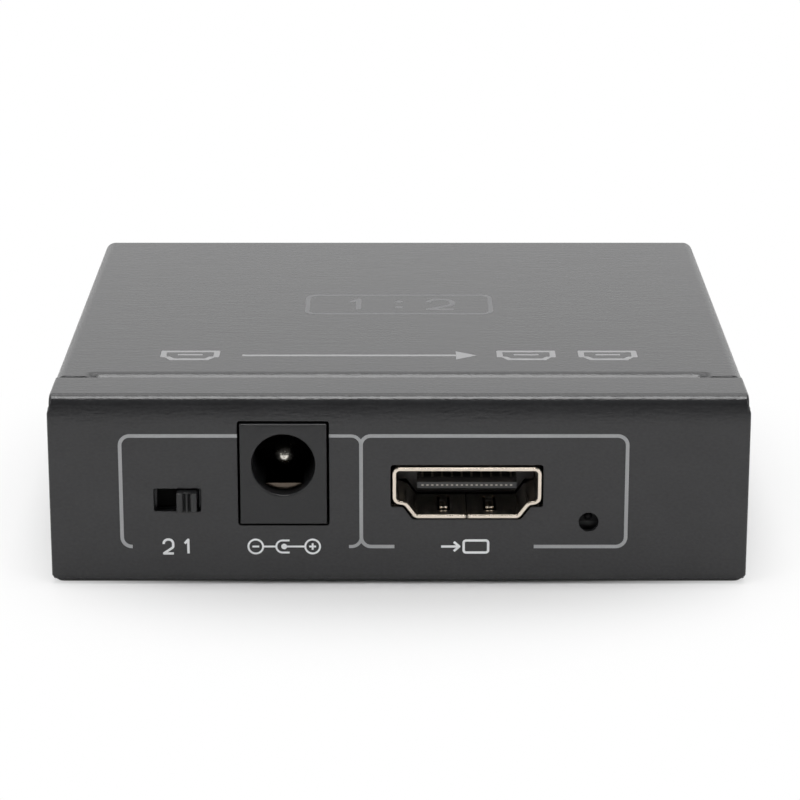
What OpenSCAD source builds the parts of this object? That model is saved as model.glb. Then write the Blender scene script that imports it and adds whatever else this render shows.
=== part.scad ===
// Compact one-in, two-out digital video splitter in a folded sheet-steel casing.
// Millimetres. +X runs to the right along the front panel, +Y towards the output panel, +Z up.
// The origin is the middle of the underside of the casing.

/* [Casing] */
// Width of the casing across the front panel
body_w = 71; // [69:1:90]
// Depth of the casing from the front panel to the output panel
body_d = 65; // [63:1:90]
// Height of the casing
body_h = 20; // [19.5:0.5:28]
// Thickness of the sheet steel
sheet_t = 0.8; // [0.6:0.1:1]
// Outside radius of the folds in the sheet
bend_r = 1.2; // [1.1:0.1:1.6]
// Depth of the flanges at the top of the end panels
flange_d = 7.2; // [6:0.2:9]
// Step by which the front flange is narrower than its panel, each side
flange_inset = 0.2; // [0.1:0.05:0.4]
// Open seam between the front flange and the edge of the cover
seam_gap = 0.25; // [0.15:0.05:0.4]
// Clearance where one sheet lies against another
lap_gap = 0.1; // [0.05:0.05:0.2]
// Distance from a side of the casing to the end of the cover's tongue
tongue_inset = 4.7; // [3.5:0.1:8]
// Reach of the cover's tongue under the front flange
tongue_reach = 4; // [2:0.5:4.5]
// Run of the joggle that lowers the tongue below the flange
joggle_l = 1.7; // [0.9:0.1:2]
// Slit that frees each end of the tongue from the plate
tongue_relief = 0.2; // [0.1:0.1:1]
// Cut-off at the lower corners of the front panel
corner_cut = 0.8; // [0.4:0.1:1]
// Lift of the cover's side walls above the underside
side_lift = 0.3; // [0.1:0.1:0.8]

/* [Fasteners] */
// Thread diameter of the cover screws
cover_screw_d = 2.5; // [2:0.5:3]
// Head diameter of the cover screws
cover_head_d = 4.6; // [4:0.1:6]
// Head height of the cover screws
cover_head_h = 1.2; // [0.8:0.1:2]
// Length of the cover screws under the head
cover_screw_l = 3.2; // [2.5:0.1:4]
// Distance between the two cover screws of one side
cover_screw_span = 32; // [20:1:34]
// Height of the cover screws above the underside
cover_screw_z = 10; // [9:0.5:12]
// Width of the upright ears that take the cover screws
ear_w = 9; // [7:0.5:11]
// Ear left above the screw's axis
ear_over = 3.5; // [3:0.5:5]
// Clearance of a cover screw in the cover's hole, all round
cover_hole_gap = 0.15; // [0.1:0.05:0.4]
// Thread diameter of the board screws
board_screw_d = 3; // [2.5:0.5:3]
// Head diameter of the board screws
board_head_d = 5.5; // [5:0.1:6]
// Head height of the board screws
board_head_h = 1.8; // [1.2:0.1:2]
// Thread left free below the tip of a board screw
board_screw_free = 0.6; // [0.4:0.1:1]
// Clearance between a thread and its tapped hole, all round
thread_gap = 0.05; // [0.02:0.01:0.1]
// Width of the cross slot in every screw head
cross_w = 0.7; // [0.5:0.1:0.9]
// Depth of the cross slot
cross_deep = 0.6; // [0.3:0.1:0.7]
// Bevel round a screw head
head_bevel = 0.3; // [0.1:0.1:0.5]

/* [Circuit board] */
// Height of the board's standoffs above the bottom plate
standoff_h = 4; // [3:0.5:5]
// Diameter of a standoff
standoff_d = 6; // [5:0.5:7]
// Diameter of the shank riveted into the bottom plate
standoff_shank_d = 4.2; // [4:0.1:4.6]
// Rivet shank left short of the underside
shank_short = 0.05; // [0.02:0.01:0.1]
// Thickness of the board
board_t = 1.6; // [1.2:0.2:2]
// Clearance between the board's edge and the casing
board_gap = 0.5; // [0.3:0.1:1]
// Distance from the board's side edge to its screw holes
board_hole_in_x = 4; // [3.8:0.1:5]
// Distance from the board's front or back edge to its screw holes
board_hole_in_y = 11.2; // [10.5:0.1:12.5]
// Clearance of a board screw in its hole, all round
board_hole_gap = 0.1; // [0.05:0.05:0.3]
// Clearance of a leg or pin in its hole in the board, all round
lead_gap = 0.15; // [0.1:0.05:0.2]
// Length of a leg or pin left below the board
lead_tail = 0.6; // [0.3:0.1:1.2]

/* [Video sockets] */
// Place of the input socket along the front panel
video_in_x = 6.9; // [5:0.1:9]
// Place of the first output socket along the output panel
video_out_1_x = 18; // [16:0.5:19]
// Place of the second output socket along the output panel
video_out_2_x = -10; // [-11:0.5:-8]
// Width across a socket's metal sleeve
socket_w = 15.1; // [14.8:0.1:15.6]
// Height of the sleeve
socket_h = 5.4; // [5.3:0.1:6]
// Height of the taper below the sleeve's straight sides
socket_drop = 1.45; // [1.3:0.05:1.7]
// Width where the taper starts
socket_neck_w = 12.7; // [12.4:0.1:13.2]
// Width of the sleeve's flat underside
socket_foot_w = 10.6; // [10:0.1:11]
// Outside corner radius of the sleeve
socket_r = 0.7; // [0.6:0.05:0.9]
// Thickness of the sleeve's metal
socket_wall = 0.45; // [0.3:0.05:0.5]
// Length of the sleeve
socket_l = 11.3; // [10:0.1:12]
// Reach of the sleeve in front of the panel
socket_proud = 0.3; // [0.1:0.1:1]
// Lift of the sleeve above the board
socket_lift = 0.8; // [0.5:0.1:1]
// Clearance round the sleeve in the panel
socket_gap = 0.18; // [0.1:0.02:0.3]
// Extra room in the panel below the sleeve's shoulders
opening_relief = 0.3; // [0.2:0.05:0.5]
// Extra room in the panel beside the sleeve's taper
opening_foot = 0.35; // [0.25:0.05:0.6]
// Depth of the socket's mouth up to its rear block
mouth_depth = 7; // [6.5:0.1:8]
// Width of the contact blade
blade_w = 10.1; // [9.6:0.1:10.4]
// Thickness of the contact blade
blade_t = 1.4; // [1.2:0.05:1.6]
// Thickness left at the blade's front edge
blade_nose = 0.65; // [0.5:0.05:0.8]
// Length of the blade's tapered nose
blade_taper = 0.6; // [0.4:0.05:0.8]
// Distance from the sleeve's lip to the blade
blade_setback = 1; // [0.6:0.1:1.6]
// Height of the blade's middle above the sleeve's underside
blade_z = 3.25; // [3:0.05:3.3]
// Number of contacts in a socket, above and below the blade in turn
contact_count = 19; // [9:1:19]
// Spacing of the contacts
contact_pitch = 0.5; // [0.4:0.05:0.52]
// Width of a contact
contact_w = 0.22; // [0.2:0.02:0.3]
// Thickness of a contact
contact_t = 0.15; // [0.1:0.01:0.2]
// Length of a contact's foot on the board
contact_foot = 0.8; // [0.5:0.1:1.2]
// Height of the contact tips that show in the blade's nose
contact_tip = 0.15; // [0.12:0.01:0.3]
// Distance from the sleeve's back to the contacts' risers
contact_out = 0.35; // [0.25:0.05:0.6]
// Clearance between the insulator and its sleeve
insulator_gap = 0.04; // [0.02:0.01:0.08]
// Width of the sleeve's spring fingers
finger_w = 0.8; // [0.6:0.05:1]
// Distance of a spring finger from the middle of the socket
finger_x = 2.35; // [2:0.05:3]
// Rise of a spring finger into the mouth
finger_rise = 0.5; // [0.3:0.05:0.6]
// Thickness of a spring finger
finger_t = 0.25; // [0.2:0.01:0.28]
// Distance from the lip to the free end of a spring finger
finger_end = 1.9; // [1.7:0.1:2.2]
// Distance from a finger's free end to its highest point
finger_curl = 0.8; // [0.5:0.1:1.2]
// Distance from the lip to the root of a spring finger
finger_root = 6.2; // [5.5:0.1:6.4]
// Length over which a finger's root joins the sleeve's wall
finger_hold = 0.4; // [0.3:0.1:0.6]
// Depth of a finger's root below the outside of the wall
finger_sit = 0.1; // [0.05:0.01:0.12]
// Width of the window that each spring finger is cut from
finger_window = 1.3; // [1.2:0.05:1.5]
// Seam along the sleeve's underside
sleeve_seam = 0.1; // [0.05:0.01:0.15]
// Width of the sleeve's solder legs
leg_w = 1; // [0.8:0.1:1.2]
// Distance from the sleeve's lip to its front legs
leg_front = 3.2; // [3:0.1:3.6]
// Distance from the front legs to the back legs
leg_span = 6; // [5:0.1:6.5]

/* [Power jack] */
// Place of the power jack along the front panel
jack_x = -11.7; // [-12.2:0.1:-10.5]
// Width of the jack's face
jack_w = 8.8; // [8.6:0.1:9.4]
// Height of the jack's face
jack_h = 10.6; // [10.4:0.1:10.8]
// Lift of the jack's square head above the board
jack_lift = 0.2; // [0.15:0.05:0.3]
// Length of the jack
jack_l = 13; // [12.5:0.1:14.5]
// Length of the square head behind the jack's face
jack_head_l = 3.5; // [3:0.1:5]
// Wall of the jack's round barrel
barrel_wall = 0.7; // [0.5:0.05:0.8]
// Height of the jack's axis above the board
jack_axis = 6.5; // [6.4:0.1:6.6]
// Diameter of the jack's bore
jack_bore_d = 6.4; // [6.2:0.1:6.6]
// Depth of the jack's bore
jack_bore_l = 9.3; // [8.8:0.1:9.8]
// Reach of the jack's face in front of the panel
jack_proud = 0.3; // [0.1:0.1:1]
// Clearance round the jack in the panel
jack_gap = 0.22; // [0.1:0.02:0.3]
// Diameter of the jack's centre pin
pin_d = 2; // [1.8:0.05:2.5]
// Distance from the jack's face to the tip of the pin
pin_setback = 2.7; // [2:0.1:3.5]
// Diameter of the pin's riveted shank
pin_shank_d = 1.4; // [1.2:0.1:1.6]
// Thickness of the jack's terminals and spring
terminal_t = 0.2; // [0.2:0.05:0.4]
// Width of the jack's terminals
terminal_w = 1.8; // [1.4:0.1:2.2]
// Distance from the jack's face to the spring's front edge
spring_setback = 1.4; // [0.6:0.1:1.6]
// Clearance between the spring and the wall of the bore
spring_gap = 0.2; // [0.1:0.05:0.4]
// Distance of the leaf spring below the jack's axis
leaf_drop = 2.35; // [2.3:0.05:2.5]
// Depth to which the spring is anchored in the jack's rear wall
spring_anchor = 1; // [0.8:0.1:1.4]
// Diameter of the pin's riveted end
rivet_d = 2.3; // [2:0.1:3]
// Height of the pin's riveted end
rivet_h = 0.4; // [0.2:0.1:0.6]
// Distance from the jack's face to the shunt terminal
shunt_y = 7.5; // [6:0.1:8.5]
// Height of the shunt terminal above the board
shunt_h = 3; // [2:0.1:5]

/* [Slide switch] */
// Place of the middle of the switch's travel along the front panel
switch_x = -22.5; // [-23:0.1:-22]
// Height of the switch's knob above the board
switch_z = 2.65; // [2.5:0.05:3]
// Width of the knob
knob_w = 2.05; // [1.8:0.05:2.2]
// Height of the knob
knob_h = 2.05; // [1.8:0.05:2.2]
// Reach of the knob in front of the panel
knob_reach = 1; // [0.6:0.1:1.5]
// Travel of the knob
knob_travel = 2; // [1.6:0.1:2.2]
// Radius of the scoop in the knob's face
scoop_r = 0.42; // [0.4:0.01:0.5]
// Depth of the scoop
scoop_deep = 0.4; // [0.2:0.05:0.45]
// Width of the rib in the middle of the scoop
scoop_rib = 0.13; // [0.08:0.01:0.2]
// Clearance beside the knob in the panel's slot, at each end of its travel
slot_gap_x = 0.36; // [0.2:0.02:0.4]
// Clearance above and below the knob in the panel's slot
slot_gap_z = 0.2; // [0.15:0.01:0.3]
// Width of the switch's metal frame
switch_w = 9.6; // [9.5:0.1:10]
// Height of the switch's metal frame
switch_h = 4.4; // [4.2:0.1:4.6]
// Thickness of the frame's metal
frame_wall = 0.3; // [0.2:0.05:0.35]
// Distance from the panel to the switch's frame
switch_setback = 0.3; // [0.15:0.05:0.6]
// Running clearance of the slider in its frame
run_gap = 0.12; // [0.08:0.01:0.15]
// Width of the slider's plate behind the frame
skirt_w = 6.7; // [6.5:0.1:6.8]
// Thickness of the slider's plate
skirt_t = 1.3; // [1.1:0.1:1.6]
// Depth of the pocket for the moving contact
pocket_deep = 0.7; // [0.5:0.05:0.8]
// Thickness of the moving contact
wiper_t = 0.2; // [0.15:0.01:0.25]
// Outside radius of the moving contact's two bumps
wiper_r = 0.5; // [0.45:0.01:0.55]
// Height of the moving contact
wiper_h = 1.6; // [1.2:0.1:1.8]
// Thickness of the switch's insulating base
switch_base_t = 1.4; // [1.2:0.1:1.8]
// Clearance between the switch's base and its frame
switch_base_gap = 0.04; // [0.02:0.01:0.1]
// Spacing of the switch's terminals
terminal_pitch = 2.5; // [2.3:0.1:2.6]
// Width of the pad that a terminal shows to the moving contact
pad_w = 1.2; // [1:0.1:1.5]
// Thickness of the switch's terminals
switch_pin_t = 0.4; // [0.3:0.05:0.5]
// Width of the frame's solder legs
frame_leg_w = 0.9; // [0.7:0.1:1.2]

/* [Indicators] */
// Distance of an indicator to the right of its socket, seen from outside
led_offset = 12.4; // [11.5:0.1:12.8]
// Height of an indicator's hole above the board
led_z = 0.3; // [0.2:0.05:0.6]
// Diameter of an indicator's hole in the panel
led_hole_d = 2; // [1.6:0.1:2.4]
// Width of an indicator lamp
led_w = 2.4; // [2:0.1:3]
// Depth of an indicator lamp
led_d = 1.5; // [1.2:0.1:2]
// Height of an indicator lamp
led_h = 1.2; // [1:0.1:1.4]
// Radius of an indicator's lens
led_lens_r = 0.45; // [0.35:0.05:0.48]

/* [Parts on the board] */
// Place of the splitter chip from the middle of the board, X and Y
chip_at = [3, 0]; // [-2:0.5:5]
// Gap between the board and a chip's body
chip_lift = 0.1; // [0.05:0.05:0.2]
// Side of the splitter chip's body
chip_w = 12; // [10.5:0.5:13]
// Thickness of the splitter chip's body
chip_t = 1.4; // [1:0.1:1.6]
// Leads along each side of the splitter chip
chip_leads = 16; // [8:1:16]
// Spacing of the splitter chip's leads
chip_pitch = 0.65; // [0.5:0.05:0.7]
// Reach of a chip's leads beyond its body
lead_reach = 1; // [0.6:0.1:1.2]
// Thickness of a chip's leads
lead_t = 0.2; // [0.1:0.05:0.25]
// Width of a chip's leads as a share of their spacing
lead_share = 0.4; // [0.3:0.05:0.6]
// Place of the memory chip from the middle of the board, X and Y
memory_at = [17, -5]; // [-6:0.5:20]
// Width of the memory chip's body
memory_w = 3.9; // [3:0.1:5]
// Length of the memory chip's body
memory_l = 4.9; // [4.6:0.1:6]
// Thickness of the memory chip's body
memory_t = 1.4; // [1:0.1:1.8]
// Leads along each side of the memory chip
memory_leads = 4; // [2:1:4]
// Spacing of the memory chip's leads
memory_pitch = 1.27; // [0.8:0.01:1.3]
// Place of the voltage regulators from the middle of the board, X and the Y of the first
regulator_at = [-13, -8]; // [-14:0.5:-7]
// Distance between the two voltage regulators
regulator_step = 8; // [7:0.5:10]
// Width of a regulator's body
regulator_w = 3.5; // [3:0.1:4]
// Length of a regulator's body
regulator_l = 6.5; // [5.5:0.1:6.8]
// Thickness of a regulator's body
regulator_t = 1.6; // [1.2:0.1:1.8]
// Reach of a regulator's tab beyond its body
regulator_tab = 1.5; // [1:0.1:2]
// Width of a regulator's tab
regulator_tab_w = 3; // [2:0.1:3.5]
// Leads of a regulator
regulator_leads = 3; // [2:1:3]
// Spacing of a regulator's leads
regulator_pitch = 2.3; // [1.5:0.1:2.4]
// Thickness of the heat sink's bonding tape
tape_t = 0.2; // [0.1:0.05:0.5]
// Side of the heat sink
sink_w = 14; // [12:0.5:15]
// Height of the heat sink
sink_h = 6; // [4:0.5:8]
// Thickness of the heat sink's base
sink_base_t = 1.6; // [1:0.1:2]
// Number of the heat sink's fins
sink_fins = 6; // [3:1:8]
// Thickness of a fin
sink_fin_t = 0.9; // [0.6:0.1:1.1]
// Place of the first bulk capacitor from the middle of the board, X and Y
can_at = [-24, 1]; // [-25:0.5:2]
// Distance between the two bulk capacitors
can_step = 8; // [7.5:0.5:9]
// Diameter of the bulk capacitors
can_d = 6.3; // [5:0.1:6.5]
// Height of the bulk capacitors
can_h = 5.8; // [4.5:0.1:8]
// Overhang of a bulk capacitor's square base
can_base_over = 0.15; // [0.05:0.05:0.3]
// Thickness of a bulk capacitor's square base
can_base_t = 0.9; // [0.6:0.1:1.2]
// Place of the power inductor from the middle of the board, X and Y
coil_at = [-24, -9]; // [-25:0.5:-8]
// Side of the power inductor
coil_w = 6; // [5:0.1:6.5]
// Height of the power inductor
coil_h = 3; // [2:0.1:4]
// Corner radius of the power inductor
coil_r = 1.2; // [0.5:0.1:2]
// Place of the crystal along X, from the middle of the board
crystal_x = -9; // [-10:0.5:-8]
// Clearance from the crystal to the chip resistors of the second output
crystal_gap = 1.1; // [0.4:0.1:2]
// Length of the crystal's can
crystal_l = 10.6; // [9:0.1:11]
// Width of the crystal's can
crystal_w = 4.4; // [3.5:0.1:4.6]
// Height of the crystal's can
crystal_h = 3.4; // [2.5:0.1:4]
// Length of a chip resistor or ceramic capacitor
chip_part_l = 1; // [0.8:0.1:1.2]
// Width of a chip resistor or ceramic capacitor
chip_part_w = 0.5; // [0.4:0.05:0.6]
// Thickness of a ceramic capacitor
ceramic_t = 0.5; // [0.3:0.05:0.6]
// Thickness of a chip resistor
resistor_t = 0.35; // [0.25:0.05:0.5]
// Distance from the splitter chip's leads to the ceramic capacitors
ceramic_out = 1.1; // [0.6:0.1:1.2]
// Spacing of the ceramic capacitors
ceramic_pitch = 2.2; // [1.5:0.1:2.6]
// Spacing of the chip resistors
resistor_pitch = 1.3; // [0.8:0.1:1.6]
// Distance from a socket's contacts to its surge arrays
surge_out = 1.2; // [0.6:0.1:1.4]
// Distance from the surge arrays to the chip resistors
resistor_out = 1.4; // [0.8:0.1:1.6]
// Length of a surge array
surge_l = 2.5; // [2:0.1:3]
// Width of a surge array
surge_w = 1; // [0.8:0.1:1.4]
// Thickness of a surge array
surge_t = 0.6; // [0.4:0.05:0.8]

/* [Hidden] */
$fn = 48;
// Overlap that keeps a cut from ending on a face
eps = 0.5;
// Half sizes of the casing
hw = body_w / 2;
hd = body_d / 2;
// Inner faces of the two end panels
front_in = -hd + sheet_t;
rear_in = hd - sheet_t;
// Inner face of the cover's side walls, and outer face of the bottom plate's sides
side_in = hw - sheet_t;
plate_hw = side_in - lap_gap;
// Inner face of the upright ears
ear_in = plate_hw - sheet_t;
// Edge of the front flange and front edge of the cover
flange_edge = -hd + flange_d;
cover_edge = flange_edge + seam_gap;
// Upper face of the cover's tongue and of the rear flange, and how far that is below the plate
tongue_top = body_h - sheet_t - lap_gap;
tongue_drop = sheet_t + lap_gap;
tongue_hw = hw - tongue_inset;
// Step of the rear flange, which keeps it clear of the folds inside the cover
rear_inset = max(flange_inset, bend_r - sheet_t);
// Board: underside, top, half width and ends
board_z = sheet_t + standoff_h;
board_top = board_z + board_t;
board_hw = ear_in - board_gap;
board_y0 = front_in + board_gap;
board_y1 = rear_in - board_gap;
board_hole_x = board_hw - board_hole_in_x;
board_hole_y = [board_y0 + board_hole_in_y, board_y1 - board_hole_in_y];
board_screw_l = board_t + standoff_h - board_screw_free;
// Lowest point of a leg or pin, measured from the board's top
lead_end = -board_t - lead_tail;
// Sockets: place, turn, and the lip's place; the first is the input
socket_x = [video_in_x, video_out_1_x, video_out_2_x];
socket_turn = [0, 180, 180];
socket_y = [-hd - socket_proud, hd + socket_proud, hd + socket_proud];
socket_z = board_top + socket_lift;
// Slope of the sleeve's taper, and what one unit of inset takes off its half width
taper = (socket_neck_w - socket_foot_w) / 2 / socket_drop;
taper_inset = sqrt(1 + taper * taper) - taper;
// Blade: upper and lower face, above the sleeve's underside
blade_top = blade_z + blade_t / 2;
blade_low = blade_z - blade_t / 2;
blade_nose_y = blade_setback + blade_taper;
// Free end of the contacts' feet behind a socket's lip
contact_end = socket_l + contact_out + contact_foot;
// Highest point of a spring finger, behind the lip
finger_knee = finger_end + finger_curl;
// Jack: radius of the barrel, radius of the spring's lip, half width of its leaf, and its back end
barrel_r = jack_bore_d / 2 + barrel_wall;
spring_r = jack_bore_d / 2 - spring_gap;
leaf_hw = sqrt(spring_r * spring_r - leaf_drop * leaf_drop);
spring_y1 = jack_bore_l + spring_anchor;
// Switch: frame's front, its lower face, and the places of what it holds, along Y
switch_y = front_in + switch_setback;
switch_low = switch_z - switch_h / 2;
skirt_y0 = frame_wall + run_gap;
skirt_y1 = skirt_y0 + skirt_t;
skirt_h = switch_h - 2 * frame_wall - 2 * run_gap;
pocket_y = skirt_y1 - pocket_deep;
pocket_w = 2 * terminal_pitch;
switch_base_y = pocket_y + wiper_t + wiper_r + run_gap;
switch_d = switch_base_y + switch_base_t;
slot_w = knob_w + knob_travel + 2 * slot_gap_x;
slot_h = knob_h + 2 * slot_gap_z;
// The knob rests at the right-hand end of its travel
knob_rest = knob_travel / 2;
switch_drop_y = switch_d + switch_pin_t;
// Indicators: place along the panel and turn
led_x = [video_in_x + led_offset, video_out_1_x - led_offset, video_out_2_x - led_offset];
// Top of the splitter chip
chip_top = board_top + chip_lift + chip_t;
// Middle of the surge arrays, and near end of the chip resistors, behind a socket's lip
surge_y = contact_end + surge_out;
resistor_y = surge_y + surge_w + resistor_out;
// Middle of the crystal, in front of the chip resistors of the second output
crystal_y = socket_y[2] - resistor_y - chip_part_l - crystal_gap - crystal_w / 2;

// Carry an outline drawn in Y and Z across the casing, centred
module across(length) {
  translate([-length / 2, 0, 0])
    rotate([90, 0, 90])
      linear_extrude(length)
        children();
}

// Carry an outline drawn in X and Z back from y = 0
module backwards(length) {
  translate([0, length, 0])
    rotate([90, 0, 0])
      linear_extrude(length)
        children();
}

// The same shape on both sides of the middle plane X = 0
module both_sides() {
  children();
  mirror([1, 0, 0])
    children();
}

// The same shape at both ends, either side of the middle plane Y = 0
module both_ends() {
  children();
  mirror([0, 1, 0])
    children();
}

// Rectangle from one corner to the other with round corners
module round_rect(low, high, r) {
  translate([low[0] + r, low[1]])
    square([high[0] - low[0] - 2 * r, high[1] - low[1]]);
  translate([low[0], low[1] + r])
    square([high[0] - low[0], high[1] - low[1] - 2 * r]);
  for (x = [low[0] + r, high[0] - r])
    for (y = [low[1] + r, high[1] - r])
      translate([x, y])
        circle(r);
}

// Pan-head screw pointing down from z = 0, with a cross slot in its head
module screw(d, head_d, head_h, length) {
  difference() {
    union() {
      rotate_extrude()
        polygon([
          [0, 0], [head_d / 2, 0], [head_d / 2, head_h - head_bevel],
          [head_d / 2 - head_bevel, head_h], [0, head_h]
        ]);
      translate([0, 0, -length])
        cylinder(d = d, h = length + head_h / 4);
    }
    for (turn = [0, 90])
      rotate([0, 0, turn])
        translate([-head_d / 3, -cross_w / 2, head_h - cross_deep])
          cube([2 * head_d / 3, cross_w, cross_deep + eps]);
  }
}

// Stand a shape at each cover screw: on the side's outer face, with its axis pointing outwards
module at_cover_screws() {
  both_sides()
    both_ends()
      translate([hw, cover_screw_span / 2, cover_screw_z])
        rotate([0, 90, 0])
          children();
}

// Stand a shape at each of the board's screw holes, at height z
module at_board_holes(z) {
  for (x = [-board_hole_x, board_hole_x])
    for (y = board_hole_y)
      translate([x, y, z])
        children();
}

// Stand a shape at a socket: its lip is y = 0, its underside z = 0, and y runs into the casing
module at_socket(n) {
  translate([socket_x[n], socket_y[n], socket_z])
    rotate([0, 0, socket_turn[n]])
      children();
}

// Stand a shape at the jack: its face is y = 0 and the board's top z = 0
module at_jack() {
  translate([jack_x, -hd - jack_proud, board_top])
    children();
}

// Stand a shape at the switch: its frame's front is y = 0 and the board's top z = 0
module at_switch() {
  translate([switch_x, switch_y, board_top])
    children();
}

// Stand a shape at an indicator, on the board's edge, facing out of the casing
module at_led(n) {
  translate([led_x[n], n == 0 ? board_y0 : board_y1, board_top])
    rotate([0, 0, socket_turn[n]])
      children();
}

// Opening for a socket in its panel: straight sides, shoulders, then a taper to the underside
module socket_opening() {
  wide = socket_w / 2 + socket_gap;
  foot = socket_foot_w / 2 + opening_foot - socket_gap * taper;
  elbow = socket_drop - opening_relief;
  neck = socket_neck_w / 2 + opening_foot - opening_relief * taper;
  translate([0, -eps, 0])
    backwards(socket_proud + sheet_t + 2 * eps)
      polygon([
        [-wide, socket_h + socket_gap], [-wide, elbow], [-neck, elbow], [-foot, -socket_gap],
        [foot, -socket_gap], [neck, elbow], [wide, elbow], [wide, socket_h + socket_gap]
      ]);
}

// Section of the chassis: bottom plate, front panel with a flange at the top of the casing, and
// output panel with a lower flange that the cover lies on
module chassis_section() {
  inner_r = bend_r - sheet_t;
  difference() {
    union() {
      round_rect([-hd, 0], [0, body_h], bend_r);
      round_rect([-hd, 0], [hd, tongue_top], bend_r);
    }
    round_rect([front_in, sheet_t], [0, body_h - sheet_t], inner_r);
    round_rect([front_in, sheet_t], [rear_in, tongue_top - sheet_t], inner_r);
    translate([flange_edge, body_h / 2])
      square([-2 * flange_edge, body_h]);
  }
}

// What is cut off beside a flange, which steps in from its panel's side where the fold begins
module flange_step(side, top, inset) {
  polygon([[side + eps, top - bend_r - inset], [side, top - bend_r - inset], [side - inset, top - bend_r],
    [side - inset, top + eps], [side + eps, top + eps]]);
}

// Folded chassis: bottom plate, both end panels and their flanges, with upright ears
module base_chassis() {
  color("#3c3c3e")
    difference() {
      union() {
        across(body_w)
          chassis_section();
        both_sides()
          both_ends()
            translate([ear_in, (cover_screw_span - ear_w) / 2, sheet_t / 2])
              cube([sheet_t, ear_w, cover_screw_z + ear_over - sheet_t / 2]);
      }
      // Strips that the cover's side walls run down through
      both_sides()
        translate([plate_hw, front_in, -eps])
          cube([sheet_t + lap_gap + eps, hd - front_in + eps, body_h - sheet_t + eps]);
      // Cut-off lower corners of the front panel, and narrower flanges at both ends
      both_sides() {
        translate([0, -hd - eps, 0])
          backwards(hd) {
            polygon([[hw - corner_cut, 0], [hw, corner_cut], [hw + eps, corner_cut],
              [hw + eps, -eps], [hw - corner_cut, -eps]]);
            flange_step(hw, body_h, flange_inset);
          }
        backwards(hd + eps)
          flange_step(plate_hw, tongue_top, rear_inset);
      }
      // Holes for the cover screws and the standoffs' shanks
      at_cover_screws()
        translate([0, 0, ear_in - hw - eps])
          cylinder(d = cover_screw_d + 2 * thread_gap, h = hw - ear_in + eps);
      at_board_holes(-eps)
        cylinder(d = standoff_shank_d, h = sheet_t + 2 * eps);
      // Openings in the front panel and the output panel
      for (n = [0 : 2]) {
        at_socket(n)
          socket_opening();
        at_led(n)
          translate([0, -board_gap - sheet_t - eps, led_z])
            rotate([-90, 0, 0])
              cylinder(d = led_hole_d, h = sheet_t + 2 * eps);
      }
      at_jack()
        translate([-jack_w / 2 - jack_gap, -eps, jack_lift - jack_gap])
          cube([jack_w + 2 * jack_gap, jack_proud + sheet_t + 2 * eps, jack_h + 2 * jack_gap]);
      translate([switch_x - slot_w / 2, -hd - eps, board_top + switch_z - slot_h / 2])
        cube([slot_w, sheet_t + 2 * eps, slot_h]);
    }
}

// Section of the joggled tongue: the plate dips by the tongue's drop and runs on under the flange
module joggle_section() {
  steps = 8;
  hold = 1;
  upper = [for (i = [0 : steps]) [
    cover_edge + joggle_l * (1 - i / steps),
    body_h - tongue_drop * (1 - cos(180 * i / steps)) / 2
  ]];
  lower = [for (i = [0 : steps]) [upper[steps - i][0], upper[steps - i][1] - sheet_t]];
  polygon(concat(
    [[cover_edge + joggle_l + hold, body_h]], upper,
    [[flange_edge - tongue_reach, tongue_top], [flange_edge - tongue_reach, tongue_top - sheet_t]],
    lower, [[cover_edge + joggle_l + hold, body_h - sheet_t]]
  ));
}

// Cover: top plate and side walls folded from one sheet, with a joggled tongue at the front
module top_cover() {
  slit_hw = tongue_hw + tongue_relief;
  color("#3f3f41")
    difference() {
      union() {
        difference() {
          translate([0, cover_edge, 0])
            backwards(hd - cover_edge)
              difference() {
                round_rect([-hw, -body_h / 2], [hw, body_h], bend_r);
                round_rect([-side_in, -body_h], [side_in, body_h - sheet_t], bend_r - sheet_t);
                translate([-hw - eps, -body_h])
                  square([body_w + 2 * eps, body_h + side_lift]);
              }
          translate([-slit_hw, cover_edge - eps, body_h - sheet_t - eps])
            cube([2 * slit_hw, joggle_l + eps, sheet_t + 2 * eps]);
        }
        across(2 * tongue_hw)
          joggle_section();
        both_sides()
          translate([side_in, front_in + lap_gap, side_lift])
            cube([sheet_t, cover_edge - front_in, tongue_top - side_lift]);
      }
      at_cover_screws()
        translate([0, 0, -sheet_t - eps])
          cylinder(d = cover_screw_d + 2 * cover_hole_gap, h = sheet_t + 2 * eps);
    }
}

// Four pan-head screws that hold the cover's sides to the chassis ears
module cover_screws() {
  color("#2b2b2d")
    at_cover_screws()
      screw(cover_screw_d, cover_head_d, cover_head_h, cover_screw_l);
}

// Four tapped round standoffs, riveted into the bottom plate
module board_standoffs() {
  color("#c8c4b8")
    at_board_holes(sheet_t)
      difference() {
        union() {
          cylinder(d = standoff_d, h = standoff_h);
          translate([0, 0, shank_short - sheet_t])
            cylinder(d = standoff_shank_d, h = sheet_t);
        }
        translate([0, 0, -sheet_t - eps])
          cylinder(d = board_screw_d + 2 * thread_gap, h = standoff_h + sheet_t + 2 * eps);
      }
}

// Hole in the board for a leg or pin with a rectangular section
module lead_hole(size_x, size_y) {
  translate([0, 0, -board_t - eps])
    cylinder(d = norm([size_x, size_y]) + 2 * lead_gap, h = board_t + 2 * eps);
}

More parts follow.
